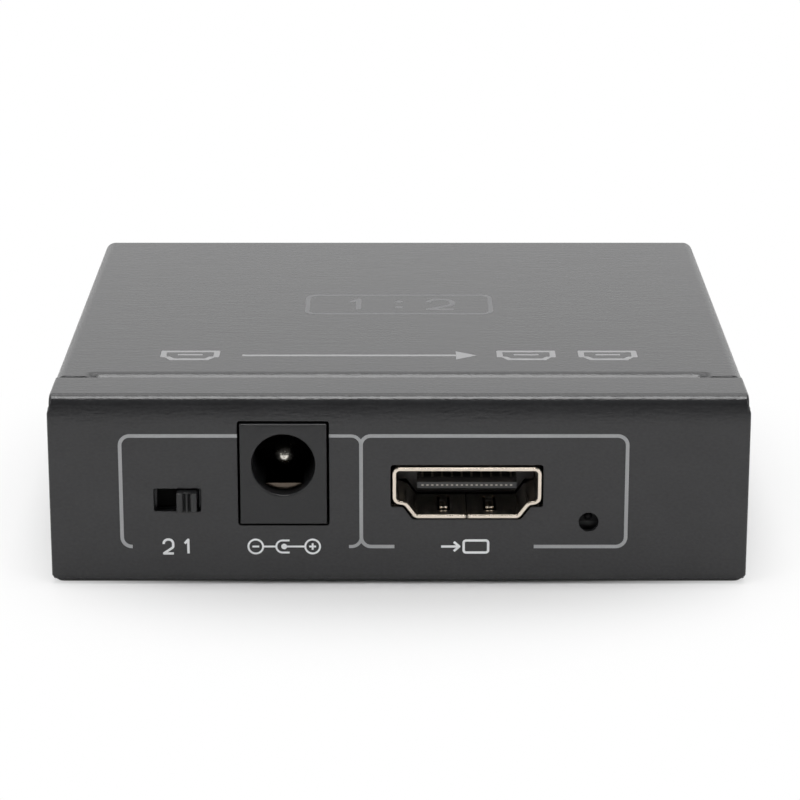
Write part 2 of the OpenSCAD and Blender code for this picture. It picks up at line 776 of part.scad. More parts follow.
// Glass-fibre board with its screw holes and the holes for legs and pins
module circuit_board() {
  color("#17191a")
    difference() {
      translate([-board_hw, board_y0, board_z])
        cube([2 * board_hw, board_y1 - board_y0, board_t]);
      at_board_holes(board_z - eps)
        cylinder(d = board_screw_d + 2 * board_hole_gap, h = board_t + 2 * eps);
      for (n = [0 : 2])
        at_socket(n)
          for (x = [-1, 1])
            for (y = [leg_front, leg_front + leg_span])
              translate([x * (socket_w - socket_wall) / 2, y, -socket_lift])
                lead_hole(socket_wall, leg_w);
      at_jack() {
        translate([0, spring_y1 - terminal_t / 2, 0])
          lead_hole(terminal_w, terminal_t);
        translate([0, jack_l + terminal_t / 2, 0])
          lead_hole(terminal_w, terminal_t);
        translate([barrel_r + terminal_t / 2, shunt_y, 0])
          lead_hole(terminal_t, terminal_w);
      }
      at_switch() {
        for (x = [-1, 0, 1])
          translate([x * terminal_pitch, switch_drop_y, 0])
            lead_hole(switch_pin_t, switch_pin_t);
        for (x = [-1, 1])
          translate([x * (switch_w - frame_wall) / 2, switch_d / 2, 0])
            lead_hole(frame_wall, frame_leg_w);
      }
    }
}

// Four pan-head screws that hold the board to its standoffs
module board_screws() {
  color("#d6d3cb")
    at_board_holes(board_top)
      screw(board_screw_d, board_head_d, board_head_h, board_screw_l);
}

// Outline of a socket's sleeve, drawn in by inset: a round-cornered box on a tapered foot
module socket_outline(inset) {
  side = socket_w / 2 - inset;
  foot = socket_foot_w / 2 - inset * taper_inset;
  neck = socket_neck_w / 2 - inset * taper_inset;
  low = socket_drop + inset;
  round_rect([-side, low], [side, socket_h - inset], socket_r - inset);
  polygon([
    [-foot, inset], [foot, inset], [neck, low],
    [neck, low + socket_r], [-neck, low + socket_r], [-neck, low]
  ]);
}

// One spring finger, cut from the sleeve's wall at z = 0 and bent into the mouth
module spring_finger() {
  high = socket_wall + finger_rise;
  translate([finger_x, 0, 0])
    across(finger_w)
      polygon([
        [finger_root + finger_hold, finger_sit], [finger_root + finger_hold, finger_sit + finger_t],
        [finger_root, finger_sit + finger_t], [finger_knee, high],
        [finger_end, high - finger_t], [finger_end, high - 2 * finger_t],
        [finger_knee, high - finger_t], [finger_root, finger_sit]
      ]);
}

// Formed metal sleeve of a socket, with solder legs, a seam and four spring fingers
module socket_sleeve(n) {
  leg_top = socket_drop + 2 * socket_r;
  color("#e3d8c8")
    at_socket(n) {
      difference() {
        union() {
          backwards(socket_l)
            difference() {
              socket_outline(0);
              socket_outline(socket_wall);
            }
          both_sides()
            for (y = [leg_front, leg_front + leg_span])
              translate([socket_w / 2 - socket_wall, y - leg_w / 2, lead_end - socket_lift])
                cube([socket_wall, leg_w, leg_top + socket_lift - lead_end]);
        }
        translate([-sleeve_seam / 2, -eps, -eps])
          cube([sleeve_seam, socket_l + 2 * eps, socket_wall + 2 * eps]);
        both_sides()
          for (z = [-eps, socket_h - socket_wall - eps])
            translate([finger_x - finger_window / 2, finger_end - finger_hold, z])
              cube([finger_window, finger_root - finger_end + finger_hold, socket_wall + 2 * eps]);
      }
      both_sides() {
        spring_finger();
        translate([0, 0, socket_h])
          mirror([0, 0, 1])
            spring_finger();
      }
    }
}

// Section of one contact: foot, riser, run along the blade, and a tip turned into the blade's nose
module contact_section(upper) {
  run = upper ? blade_top - contact_t : blade_low;
  tip = blade_z - contact_tip / 2;
  turn_low = min(run, tip);
  turn_high = max(run + contact_t, tip + contact_tip);
  back = socket_l + contact_out;
  translate([blade_nose_y, run])
    square([back - blade_nose_y, contact_t]);
  translate([back - contact_t, -socket_lift])
    square([contact_t, run + contact_t + socket_lift]);
  translate([back - contact_t, -socket_lift])
    square([contact_foot, contact_t]);
  translate([blade_nose_y, turn_low])
    square([contact_t, turn_high - turn_low]);
  translate([blade_setback, tip])
    square([blade_taper + contact_t, contact_tip]);
}

// All the contacts of a socket, above and below the blade in turn
module contact_row() {
  middle = (contact_count - 1) / 2;
  for (i = [0 : contact_count - 1])
    translate([(i - middle) * contact_pitch, 0, 0])
      across(contact_w)
        contact_section(i % 2 == 0);
}

// Moulded insulator of a socket: the rear block and the blade that carries the contacts
module socket_insulator(n) {
  color("#1b1b1c")
    at_socket(n)
      difference() {
        union() {
          translate([0, mouth_depth, 0])
            backwards(socket_l - mouth_depth)
              socket_outline(socket_wall + insulator_gap);
          across(blade_w)
            polygon([
              [blade_setback, blade_z - blade_nose / 2], [blade_nose_y, blade_low],
              [mouth_depth + eps, blade_low], [mouth_depth + eps, blade_top],
              [blade_nose_y, blade_top], [blade_setback, blade_z + blade_nose / 2]
            ]);
        }
        contact_row();
      }
}

// Plated contacts of a socket
module socket_contacts(n) {
  color("#bdb7a8")
    at_socket(n)
      contact_row();
}

// Leaf spring that presses on the plug's outside: a flat leaf, a turned-down front lip and its tail
module jack_spring_shape() {
  translate([-leaf_hw, spring_setback, jack_axis - leaf_drop - terminal_t])
    cube([2 * leaf_hw, spring_y1 - spring_setback, terminal_t]);
  translate([0, spring_setback, jack_axis])
    backwards(terminal_t)
      intersection() {
        circle(spring_r);
        translate([-spring_r, -spring_r])
          square([2 * spring_r, spring_r - leaf_drop]);
      }
  translate([-terminal_w / 2, spring_y1 - terminal_t, lead_end])
    cube([terminal_w, terminal_t, jack_axis - leaf_drop - terminal_t / 2 - lead_end]);
}

// Moulded body of the power jack: square head, round barrel, bore, and room for its metal parts
module power_jack_body() {
  color("#161617")
    at_jack()
      difference() {
        union() {
          translate([-jack_w / 2, 0, jack_lift])
            cube([jack_w, jack_head_l, jack_h]);
          translate([-barrel_r, jack_head_l / 2, 0])
            cube([2 * barrel_r, jack_l - jack_head_l / 2, jack_axis]);
          translate([0, jack_head_l / 2, jack_axis])
            rotate([-90, 0, 0])
              cylinder(r = barrel_r, h = jack_l - jack_head_l / 2);
        }
        translate([0, -eps, jack_axis])
          rotate([-90, 0, 0])
            cylinder(d = jack_bore_d, h = jack_bore_l + eps);
        translate([0, jack_bore_l - eps, jack_axis])
          rotate([-90, 0, 0])
            cylinder(d = pin_shank_d, h = jack_l - jack_bore_l + 2 * eps);
        jack_spring_shape();
      }
}

// Centre pin with a round tip, riveted through the jack's rear wall and its terminal
module power_jack_pin() {
  tip_r = pin_d / 2;
  tail = jack_l + terminal_t;
  shank_from = jack_bore_l - tip_r;
  color("#d9d5cc")
    at_jack()
      translate([0, 0, jack_axis])
        rotate([-90, 0, 0])
          rotate_extrude() {
            intersection() {
              translate([0, pin_setback + tip_r])
                circle(tip_r);
              translate([0, pin_setback])
                square([tip_r, tip_r]);
            }
            translate([0, pin_setback + tip_r])
              square([tip_r, jack_bore_l - pin_setback - tip_r]);
            translate([0, shank_from])
              square([pin_shank_d / 2, tail - shank_from]);
            translate([0, tail])
              square([rivet_d / 2, rivet_h]);
          }
}

// Spring contact for the outside of the plug
module power_jack_spring() {
  color("#cfcac0")
    at_jack()
      jack_spring_shape();
}

// Terminal riveted to the centre pin, and the shunt terminal on the barrel's side
module power_jack_terminals() {
  color("#cfcac0")
    at_jack() {
      difference() {
        translate([-terminal_w / 2, jack_l, lead_end])
          cube([terminal_w, terminal_t, jack_axis + rivet_d / 2 - lead_end]);
        translate([0, jack_l - eps, jack_axis])
          rotate([-90, 0, 0])
            cylinder(d = pin_shank_d, h = terminal_t + 2 * eps);
      }
      translate([barrel_r, shunt_y - terminal_w / 2, lead_end])
        cube([terminal_t, terminal_w, shunt_h - lead_end]);
    }
}

// Stamped frame of the slide switch, open at the back, with a window and two solder legs
module switch_frame() {
  window_w = knob_w + knob_travel + 2 * run_gap;
  window_h = knob_h + 2 * run_gap;
  color("#2b2b2d")
    at_switch()
      difference() {
        union() {
          translate([-switch_w / 2, 0, switch_low])
            cube([switch_w, switch_d, switch_h]);
          both_sides()
            translate([switch_w / 2 - frame_wall, (switch_d - frame_leg_w) / 2, lead_end])
              cube([frame_wall, frame_leg_w, switch_z - lead_end]);
        }
        translate([frame_wall - switch_w / 2, frame_wall, switch_low + frame_wall])
          cube([switch_w - 2 * frame_wall, switch_d, switch_h - 2 * frame_wall]);
        translate([-window_w / 2, -eps, switch_z - window_h / 2])
          cube([window_w, frame_wall + 2 * eps, window_h]);
      }
}

// One switch terminal: a pad, a stem through the base and a pin down through the board
module switch_terminal() {
  half = switch_pin_t / 2;
  translate([-pad_w / 2, switch_base_y, switch_z - wiper_h / 2])
    cube([pad_w, switch_pin_t, wiper_h]);
  translate([-half, switch_base_y, switch_z - half])
    cube([switch_pin_t, switch_drop_y + half - switch_base_y, switch_pin_t]);
  translate([-half, switch_drop_y - half, lead_end])
    cube([switch_pin_t, switch_pin_t, switch_z + half - lead_end]);
}

// The three terminals, side by side
module switch_terminal_row() {
  for (x = [-1, 0, 1])
    translate([x * terminal_pitch, 0, 0])
      switch_terminal();
}

// Insulating base that closes the back of the switch
module switch_base() {
  inside = frame_wall + switch_base_gap;
  color("#6d4a2c")
    at_switch()
      difference() {
        translate([inside - switch_w / 2, switch_base_y, switch_low + inside])
          cube([switch_w - 2 * inside, switch_base_t, switch_h - 2 * inside]);
        switch_terminal_row();
      }
}

// Silver-plated terminals of the switch
module switch_terminals() {
  color("#d3d1cb")
    at_switch()
      switch_terminal_row();
}

// Moulded slider: the knob with its scooped face, and the plate that runs inside the frame
module switch_slider() {
  face = -switch_setback - sheet_t - knob_reach;
  color("#121213")
    at_switch()
      translate([knob_rest, 0, switch_z])
        difference() {
          union() {
            translate([-skirt_w / 2, skirt_y0, -skirt_h / 2])
              cube([skirt_w, skirt_t, skirt_h]);
            translate([-knob_w / 2, face, -knob_h / 2])
              cube([knob_w, skirt_y0 + skirt_t / 2 - face, knob_h]);
          }
          difference() {
            translate([0, face + scoop_deep - scoop_r, -knob_h / 2 - eps])
              cylinder(r = scoop_r, h = knob_h + 2 * eps);
            translate([-scoop_rib / 2, face + scoop_deep / 4, -knob_h])
              cube([scoop_rib, scoop_r, 2 * knob_h]);
          }
          translate([-pocket_w / 2, pocket_y, -wiper_h / 2])
            cube([pocket_w, pocket_deep + eps, wiper_h]);
        }
}

// Moving contact: a strip with two round bumps, carried in the slider's pocket
module switch_wiper() {
  bump_x = terminal_pitch / 2;
  color("#d2a95c")
    at_switch()
      translate([knob_rest, pocket_y, switch_z - wiper_h / 2])
        linear_extrude(wiper_h)
          difference() {
            union() {
              translate([-pocket_w / 2, 0])
                square([pocket_w, wiper_t]);
              for (x = [-bump_x, bump_x])
                translate([x, wiper_t])
                  circle(wiper_r);
            }
            for (x = [-bump_x, bump_x])
              translate([x, wiper_t])
                circle(wiper_r - wiper_t);
            translate([-pocket_w, -pocket_deep])
              square([2 * pocket_w, pocket_deep]);
          }
}

// Side-view indicator lamp on the board's edge, with a round lens
module indicator(n) {
  color("#454744")
    at_led(n) {
      translate([-led_w / 2, 0, 0])
        cube([led_w, led_d, led_h]);
      translate([0, 0, led_h / 2])
        sphere(led_lens_r);
    }
}

// Gull-wing lead: a shoulder out of the body and a foot on the board, along +X
module gull_lead(body_t, width) {
  mid = chip_lift + body_t / 2;
  knee = lead_reach / 2 - lead_t;
  translate([-eps, -width / 2, mid - lead_t / 2])
    cube([lead_reach / 2 + eps, width, lead_t]);
  translate([knee, -width / 2, 0])
    cube([lead_t, width, mid + lead_t / 2]);
  translate([knee, -width / 2, 0])
    cube([lead_reach - knee, width, lead_t]);
}

// Row of gull-wing leads along Y, centred, reaching out along +X
module lead_row(count, pitch, body_t) {
  for (i = [0 : count - 1])
    translate([0, (i - (count - 1) / 2) * pitch, 0])
      gull_lead(body_t, pitch * lead_share);
}

// Square splitter chip with leads on four sides
module splitter_chip() {
  color("#1d1d1f")
    translate([chip_at[0], chip_at[1], board_top]) {
      translate([-chip_w / 2, -chip_w / 2, chip_lift])
        cube([chip_w, chip_w, chip_t]);
      for (turn = [0 : 90 : 270])
        rotate([0, 0, turn])
          translate([chip_w / 2, 0, 0])
            lead_row(chip_leads, chip_pitch, chip_t);
    }
}

// Bonding tape between the splitter chip and its heat sink
module heat_sink_tape() {
  color("#8fa3b5")
    translate([chip_at[0] - chip_w / 2, chip_at[1] - chip_w / 2, chip_top])
      cube([chip_w, chip_w, tape_t]);
}

// Finned aluminium heat sink
module heat_sink() {
  step = (sink_w - sink_fin_t) / (sink_fins - 1);
  color("#a9adb1")
    translate([chip_at[0] - sink_w / 2, chip_at[1] - sink_w / 2, chip_top + tape_t]) {
      cube([sink_w, sink_w, sink_base_t]);
      for (i = [0 : sink_fins - 1])
        translate([i * step, 0, 0])
          cube([sink_fin_t, sink_w, sink_h]);
    }
}

// Eight-lead memory chip
module memory_chip() {
  color("#202022")
    translate([memory_at[0], memory_at[1], board_top]) {
      translate([-memory_w / 2, -memory_l / 2, chip_lift])
        cube([memory_w, memory_l, memory_t]);
      for (turn = [0, 180])
        rotate([0, 0, turn])
          translate([memory_w / 2, 0, 0])
            lead_row(memory_leads, memory_pitch, memory_t);
    }
}

// Two voltage regulators, each with a wide tab and three leads
module voltage_regulators() {
  tab_t = chip_lift + lead_t;
  color("#232325")
    for (i = [0, 1])
      translate([regulator_at[0], regulator_at[1] + i * regulator_step, board_top]) {
        translate([-regulator_w / 2, -regulator_l / 2, chip_lift])
          cube([regulator_w, regulator_l, regulator_t]);
        translate([-regulator_w / 2 - regulator_tab, -regulator_tab_w / 2, 0])
          cube([regulator_tab + eps, regulator_tab_w, tab_t]);
        translate([regulator_w / 2, 0, 0])
          lead_row(regulator_leads, regulator_pitch, regulator_t);
      }
}

// Shielded power inductor
module power_inductor() {
  half = coil_w / 2;
  color("#4a4a4d")
    translate([coil_at[0], coil_at[1], board_top])
      linear_extrude(coil_h)
        round_rect([-half, -half], [half, half], coil_r);
}

// Two electrolytic capacitors on square bases
module bulk_capacitors() {
  base_w = can_d + 2 * can_base_over;
  color("#b9bcc0")
    for (i = [0, 1])
      translate([can_at[0], can_at[1] + i * can_step, board_top]) {
        translate([-base_w / 2, -base_w / 2, 0])
          cube([base_w, base_w, can_base_t]);
        cylinder(d = can_d, h = can_h);
      }
}

// Crystal in a flat can with round ends
module crystal() {
  color("#c4c6c8")
    translate([crystal_x, crystal_y, board_top])
      linear_extrude(crystal_h) {
        square([crystal_l - crystal_w, crystal_w], center = true);
        for (x = [-1, 1])
          translate([x * (crystal_l - crystal_w) / 2, 0])
            circle(d = crystal_w);
      }
}

// Two surge arrays behind each socket
module surge_arrays() {
  color("#26262a")
    for (n = [0 : 2])
      at_socket(n)
        for (x = [-1, 1])
          translate([x * blade_w / 4 - surge_l / 2, surge_y, -socket_lift])
            cube([surge_l, surge_w, surge_t]);
}

// Ceramic capacitors in a row along each side of the splitter chip
module ceramic_capacitors() {
  out = chip_w / 2 + lead_reach + ceramic_out;
  color("#b79a6b")
    translate([chip_at[0], chip_at[1], board_top])
      for (turn = [0 : 90 : 270])
        rotate([0, 0, turn])
          for (i = [-2 : 2])
            translate([out, i * ceramic_pitch - chip_part_w / 2, 0])
              cube([chip_part_l, chip_part_w, ceramic_t]);
}

// Chip resistors in a row between the splitter chip and each socket
module chip_resistors() {
  color("#29292b")
    for (n = [0 : 2])
      at_socket(n)
        for (i = [-3 : 3])
          translate([i * resistor_pitch - chip_part_w / 2, resistor_y, -socket_lift])
            cube([chip_part_w, chip_part_l, resistor_t]);
}

base_chassis();
top_cover();
cover_screws();
board_standoffs();
circuit_board();
board_screws();
socket_sleeve(0);  // video_in_sleeve
socket_insulator(0);  // video_in_insulator
socket_contacts(0);  // video_in_contacts
socket_sleeve(1);  // video_out_1_sleeve
socket_insulator(1);  // video_out_1_insulator
socket_contacts(1);  // video_out_1_contacts
socket_sleeve(2);  // video_out_2_sleeve
socket_insulator(2);  // video_out_2_insulator
socket_contacts(2);  // video_out_2_contacts
power_jack_body();
power_jack_pin();
power_jack_spring();
power_jack_terminals();
switch_frame();
switch_base();
switch_terminals();
switch_slider();
switch_wiper();
indicator(0);  // input_led
indicator(1);  // output_1_led
indicator(2);  // output_2_led
splitter_chip();
heat_sink_tape();
heat_sink();
memory_chip();
voltage_regulators();
power_inductor();
bulk_capacitors();
crystal();
surge_arrays();
ceramic_capacitors();
chip_resistors();
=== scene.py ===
import math

import bpy
import numpy as np
from mathutils.geometry import delaunay_2d_cdt
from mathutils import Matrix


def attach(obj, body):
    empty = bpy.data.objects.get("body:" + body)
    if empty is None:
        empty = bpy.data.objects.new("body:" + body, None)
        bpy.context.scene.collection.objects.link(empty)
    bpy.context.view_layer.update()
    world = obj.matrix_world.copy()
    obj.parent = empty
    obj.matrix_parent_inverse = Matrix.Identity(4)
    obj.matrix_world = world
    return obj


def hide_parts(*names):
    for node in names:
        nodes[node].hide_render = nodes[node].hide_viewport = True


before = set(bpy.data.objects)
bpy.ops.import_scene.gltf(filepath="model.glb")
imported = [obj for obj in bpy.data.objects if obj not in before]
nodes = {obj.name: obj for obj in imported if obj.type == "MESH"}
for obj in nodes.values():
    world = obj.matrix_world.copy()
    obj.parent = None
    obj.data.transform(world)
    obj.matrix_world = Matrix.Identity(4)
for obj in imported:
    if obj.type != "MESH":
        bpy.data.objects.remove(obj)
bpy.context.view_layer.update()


# Base chassis: one sheet of 0.8 mm steel with all its openings cut flat, then folded up into the floor, the
# front panel with its flange over the top, and the lower rear panel. Four upright ears take the cover's
# screws, and the whole is powder coated in a fine charcoal texture.
MM = 0.001
WIDTH, DEPTH, HEIGHT = 71.0, 65.0, 20.0
SHEET, BEND = 0.8, 1.2
FLANGE, FLANGE_INSET, FLANGE_EASE, CORNER_CUT = 7.2, 0.2, 0.5, 0.8
PLATE_HALF, REAR_TOP, REAR_INSET = 34.6, 19.1, 0.4
OUTER_EDGE, CUT_EDGE = 0.28, 0.07
BEND_TURN, TAIL_R = math.radians(78), 12.0


def rounded_path(corners, radii):
    """Straight runs between corners, joined by arcs. The heading is constant on a run and linear in an arc,
    and its integral is the path. Gives the distances where runs and arcs meet, and a function from distance
    to the point and the normal on the right-hand side."""
    corners = np.asarray(corners, float)
    step = np.diff(corners, axis=0)
    heading = np.unwrap(np.arctan2(step[:, 1], step[:, 0]))
    turn = np.abs(np.diff(heading))
    radii = np.broadcast_to(radii, turn.shape)
    tangent = radii * np.tan(turn / 2)
    lengths = np.empty(2 * len(step) - 1)
    lengths[::2] = np.hypot(*step.T) - np.append(tangent, 0) - np.append(0, tangent)
    lengths[1::2] = radii * turn
    knots = np.append(0, np.cumsum(lengths))
    headings = np.repeat(heading, 2)
    fine = np.union1d(np.linspace(0, knots[-1], 20001), knots)
    middle = np.interp((fine[1:] + fine[:-1]) / 2, knots, headings)
    moves = np.diff(fine)[:, None] * np.stack([np.cos(middle), np.sin(middle)], -1)
    track = corners[0] + np.vstack([[0, 0], np.cumsum(moves, axis=0)])

    def along(s):
        angle = np.interp(s, knots, headings)
        point = np.stack([np.interp(s, fine, track[:, 0]), np.interp(s, fine, track[:, 1])], -1)
        return point, np.stack([np.sin(angle), -np.cos(angle)], -1)

    return knots, along


def stations(knots, per_arc):
    """Distances to sample on a rounded path: every knot, and equal steps within each arc."""
    share = np.linspace(0, 1, per_arc + 1)
    arcs = knots[1:-1:2, None] + (knots[2:-1:2] - knots[1:-1:2])[:, None] * share
    return np.unique(np.append(knots, arcs).round(7))


def rounded_ring(corners, radii, per_arc=6):
    """Closed outline with rounded corners, as points: a rounded path from the middle of the last side."""
    start = (np.asarray(corners[0], float) + corners[-1]) / 2
    knots, along = rounded_path([start, *corners, start], radii)
    return along(stations(knots, per_arc)[:-1])[0]


def rounded_box(x0, z0, x1, z1, radius, per_arc=6):
    """Rounded ring of a rectangle between two opposite corners."""
    return rounded_ring([(x0, z0), (x1, z0), (x1, z1), (x0, z1)], radius, per_arc)


def round_hole(x, z, radius):
    """Rounded ring with no straight sides left."""
    return rounded_box(x - radius, z - radius, x + radius, z + radius, radius * 0.9999, 12)


def as_opening(ring):
    """The ring in the direction that leaves the metal on its left: clockwise."""
    x, z = ring.T
    area = np.sum(x * np.roll(z, -1) - z * np.roll(x, -1))
    return ring[::-1] if area > 0 else ring


def as_outline(ring):
    """The ring in the other direction, with the metal inside it."""
    return as_opening(ring)[::-1]


def cut_sheet(loops, ribs, fold, thickness, edge, inner=()):
    """A sheet that is cut flat and then formed. The loops, with metal on their left, are the outline and the
    openings; the ribs join points of the loops across a bend, and the inner points are extra ones where the
    sheet is pressed to a shape. Both faces are one flat triangulation, drawn back from the cuts by the edge
    radius, and keep the triangles that the loops go round. Every cut is a rim with two quarter rounds,
    carried along its loop. The edge radius is one number, or a list with one entry for each loop, which may
    differ from point to point. fold(u, v, w) gives the place in space of a flat point that is w below the
    outer face."""
    counts = np.array([len(loop) for loop in loops])
    radii = edge if isinstance(edge, list) else [edge] * len(loops)
    edge = np.concatenate([np.broadcast_to(radius, len(loop)) for radius, loop in zip(radii, loops)])
    first = np.cumsum(counts) - counts
    points = np.vstack(loops)
    after = np.arange(len(points)) + 1
    after[first + counts - 1] = first
    run = points[after] - points
    run /= np.linalg.norm(run, axis=1, keepdims=True)
    left = np.stack([-run[:, 1], run[:, 0]], -1)
    left_before = left[np.argsort(after)]
    miter = (left + left_before) / (1 + np.sum(left * left_before, axis=1, keepdims=True))
    drawn = points + miter * edge[:, None]
    cuts = np.stack([np.arange(len(points)), after], -1)
    lines = np.vstack([cuts, np.reshape(ribs, (-1, 2))]).astype(int)
    corners = np.vstack([drawn, np.reshape(inner, (-1, 2))])
    flat, _, faces, *_ = delaunay_2d_cdt(corners.tolist(), lines.tolist(), [], 0, 1e-7)
    flat, faces = np.array(flat), np.array(faces)

    middle = flat[faces].mean(axis=1)[:, None]
    a, b = drawn, drawn[after]
    cut, offset = b - a, middle - a
    across = cut[:, 0] * offset[..., 1] - offset[..., 0] * cut[:, 1]
    up = b[:, 1] > a[:, 1]
    spans = (a[:, 1] > middle[..., 1]) != (b[:, 1] > middle[..., 1])
    turns = np.sum(np.where(up, 1, -1) * (spans & ((across > 0) == up)), axis=1)
    faces = faces[turns != 0]

    turn = np.linspace(0, math.pi / 2, 5)[:, None]
    back = edge * np.concatenate([1 - np.sin(turn), 1 - np.cos(turn)])
    depth = np.concatenate([edge * (1 - np.cos(turn)), thickness - edge * (1 - np.sin(turn))])
    rim = points + miter * back[1:-1, :, None]
    place = np.vstack([flat, flat, rim.reshape(-1, 2)])
    below = np.concatenate([np.zeros(len(flat)), np.full(len(flat), thickness), depth[1:-1].ravel()])
    solid = fold(place[:, 0], place[:, 1], below)

    ring = np.arange(len(points))
    rows = 2 * len(flat) + len(points) * np.arange(len(back) - 2)[:, None] + ring
    rows = np.vstack([ring, rows, ring + len(flat)])
    sides = np.stack([rows[:-1], rows[1:], rows[1:][:, after], rows[:-1][:, after]], -1).reshape(-1, 4)
    tris = np.vstack([faces, faces[:, ::-1] + len(flat)])

    p, q, r = (solid[faces[:, k]] for k in range(3))
    outward = solid[faces[:, 0]] - solid[faces[:, 0] + len(flat)]
    if np.sum(np.cross(q - p, r - p) * outward) < 0:
        tris, sides = tris[:, ::-1], sides[:, ::-1]
    return solid, tris, sides


def gather(*solids):
    """Several solids as one: their points end to end, and their faces moved on to match."""
    starts = np.cumsum([0] + [len(solid[0]) for solid in solids[:-1]])
    return tuple([np.vstack([solid[0] for solid in solids])] + [
        np.vstack([solid[k] + start for solid, start in zip(solids, starts)]) for k in (1, 2)])


def add_piece(name, solid, finish, body="housing"):
    """Mesh object of a solid in millimetres, smooth, with its normals weighted by area so flats stay flat."""
    points, tris, quads = solid
    mesh = bpy.data.meshes.new(name)
    mesh.from_pydata((points * MM).tolist(), [], tris.tolist() + quads.tolist())
    mesh.polygons.foreach_set("use_smooth", np.ones(len(mesh.polygons), bool))
    mesh.materials.append(finish)
    piece = bpy.data.objects.new(name, mesh)
    bpy.context.collection.objects.link(piece)
    flats = piece.modifiers.new("flats", "WEIGHTED_NORMAL")
    flats.mode = "FACE_AREA"
    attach(piece, body)
    return piece


def grained(name, dark, light, grain, roughness, relief, metallic=0.0, stretch=(1, 1, 1), rough_spread=0.06):
    """Finish with a fine grain: noise of the given size in mm mixes two tones, moves the roughness a little
    and raises the surface by relief, in mm."""
    finish = bpy.data.materials.new(name)
    finish.use_nodes = True
    tree = finish.node_tree
    shader = tree.nodes["Principled BSDF"]
    shader.inputs["Metallic"].default_value = metallic
    place = tree.nodes.new("ShaderNodeTexCoord")
    scale = tree.nodes.new("ShaderNodeMapping")
    scale.inputs["Scale"].default_value = stretch
    noise = tree.nodes.new("ShaderNodeTexNoise")
    noise.inputs["Scale"].default_value = 1 / (grain * MM)
    noise.inputs["Detail"].default_value = 3
    cloud = tree.nodes.new("ShaderNodeTexNoise")
    cloud.inputs["Scale"].default_value = 1 / (14 * grain * MM)
    tones = tree.nodes.new("ShaderNodeValToRGB")
    tones.color_ramp.elements[0].position = 0.3
    tones.color_ramp.elements[1].position = 0.7
    tones.color_ramp.elements[0].color = (*dark, 1)
    tones.color_ramp.elements[1].color = (*light, 1)
    blend = tree.nodes.new("ShaderNodeMath")
    blend.operation = "MULTIPLY_ADD"
    blend.inputs[1].default_value = 0.6
    gloss = tree.nodes.new("ShaderNodeMapRange")
    gloss.inputs["To Min"].default_value = roughness - rough_spread
    gloss.inputs["To Max"].default_value = roughness + rough_spread
    bump = tree.nodes.new("ShaderNodeBump")
    bump.inputs["Strength"].default_value = 1
    bump.inputs["Distance"].default_value = relief * MM
    half = tree.nodes.new("ShaderNodeMath")
    half.operation = "MULTIPLY"
    half.inputs[1].default_value = 0.4
    link = tree.links.new
    link(place.outputs["Object"], scale.inputs["Vector"])
    link(scale.outputs["Vector"], noise.inputs["Vector"])
    link(scale.outputs["Vector"], cloud.inputs["Vector"])
    link(cloud.outputs["Fac"], half.inputs[0])
    link(noise.outputs["Fac"], blend.inputs[0])
    link(half.outputs[0], blend.inputs[2])
    link(blend.outputs[0], tones.inputs["Fac"])
    link(blend.outputs[0], gloss.inputs["Value"])
    link(noise.outputs["Fac"], bump.inputs["Height"])
    link(tones.outputs["Color"], shader.inputs["Base Color"])
    link(gloss.outputs["Result"], shader.inputs["Roughness"])
    link(bump.outputs["Normal"], shader.inputs["Normal"])
    return finish


WRINKLE, WRINKLE_RELIEF = 0.45, 0.014
powder_coat = grained("charcoal_powder_coat", (0.017, 0.017, 0.018), (0.026, 0.026, 0.0275), 0.25, 0.24,
                      0.022, stretch=(0.6, 1, 1))
coat = powder_coat.node_tree
long_way = coat.nodes.new("ShaderNodeMapping")
long_way.inputs["Scale"].default_value = (0.18, 1, 1)
wrinkle = coat.nodes.new("ShaderNodeTexNoise")
wrinkle.inputs["Scale"].default_value = 1 / (WRINKLE * MM)
wrinkle.inputs["Detail"].default_value = 2
shallow = coat.nodes.new("ShaderNodeBump")
shallow.inputs["Strength"].default_value = 1
shallow.inputs["Distance"].default_value = WRINKLE_RELIEF * MM
coat.links.new(coat.nodes["Texture Coordinate"].outputs["Object"], long_way.inputs["Vector"])
coat.links.new(long_way.outputs["Vector"], wrinkle.inputs["Vector"])
coat.links.new(wrinkle.outputs["Fac"], shallow.inputs["Height"])
coat.links.new(shallow.outputs["Normal"], coat.nodes["Bump"].inputs["Normal"])

half_w, half_d = WIDTH / 2, DEPTH / 2
flange_edge = half_d - FLANGE
slant = BEND * math.tan(BEND_TURN / 2) + TAIL_R * math.tan(math.pi / 4 - BEND_TURN / 2) + 0.001
chassis_knots, chassis_along = rounded_path(
    [(-flange_edge, HEIGHT), (slant * math.cos(BEND_TURN) - half_d, HEIGHT),
     (-half_d, HEIGHT - slant * math.sin(BEND_TURN)), (-half_d, 0), (half_d, 0), (half_d, REAR_TOP),
     (flange_edge, REAR_TOP)], [BEND, TAIL_R, BEND, BEND, BEND])


def fold_chassis(u, v, w):
    """Across the sheet is X. Along it, the distance follows the C-shaped section, whose top bend at the front
    eases into the panel on a wide arc, and depth goes inwards."""
    point, normal = chassis_along(v)
    return np.column_stack([u, point - normal * w[:, None]])


def on_front(ring):
    """A ring drawn on the front panel, X and Z, as an opening of the flat sheet."""
    return as_opening(np.column_stack([ring[:, 0], chassis_knots[5] + BEND - ring[:, 1]]))


def on_rear(ring):
    """A ring drawn on the rear panel, X and Z, as an opening of the flat sheet."""
    return as_opening(np.column_stack([ring[:, 0], chassis_knots[8] + ring[:, 1] - BEND]))


def on_floor(ring):
    """A ring drawn on the bottom plate, X and Y, as an opening of the flat sheet."""
    return as_opening(np.column_stack([ring[:, 0], chassis_knots[6] + ring[:, 1] + half_d - BEND]))


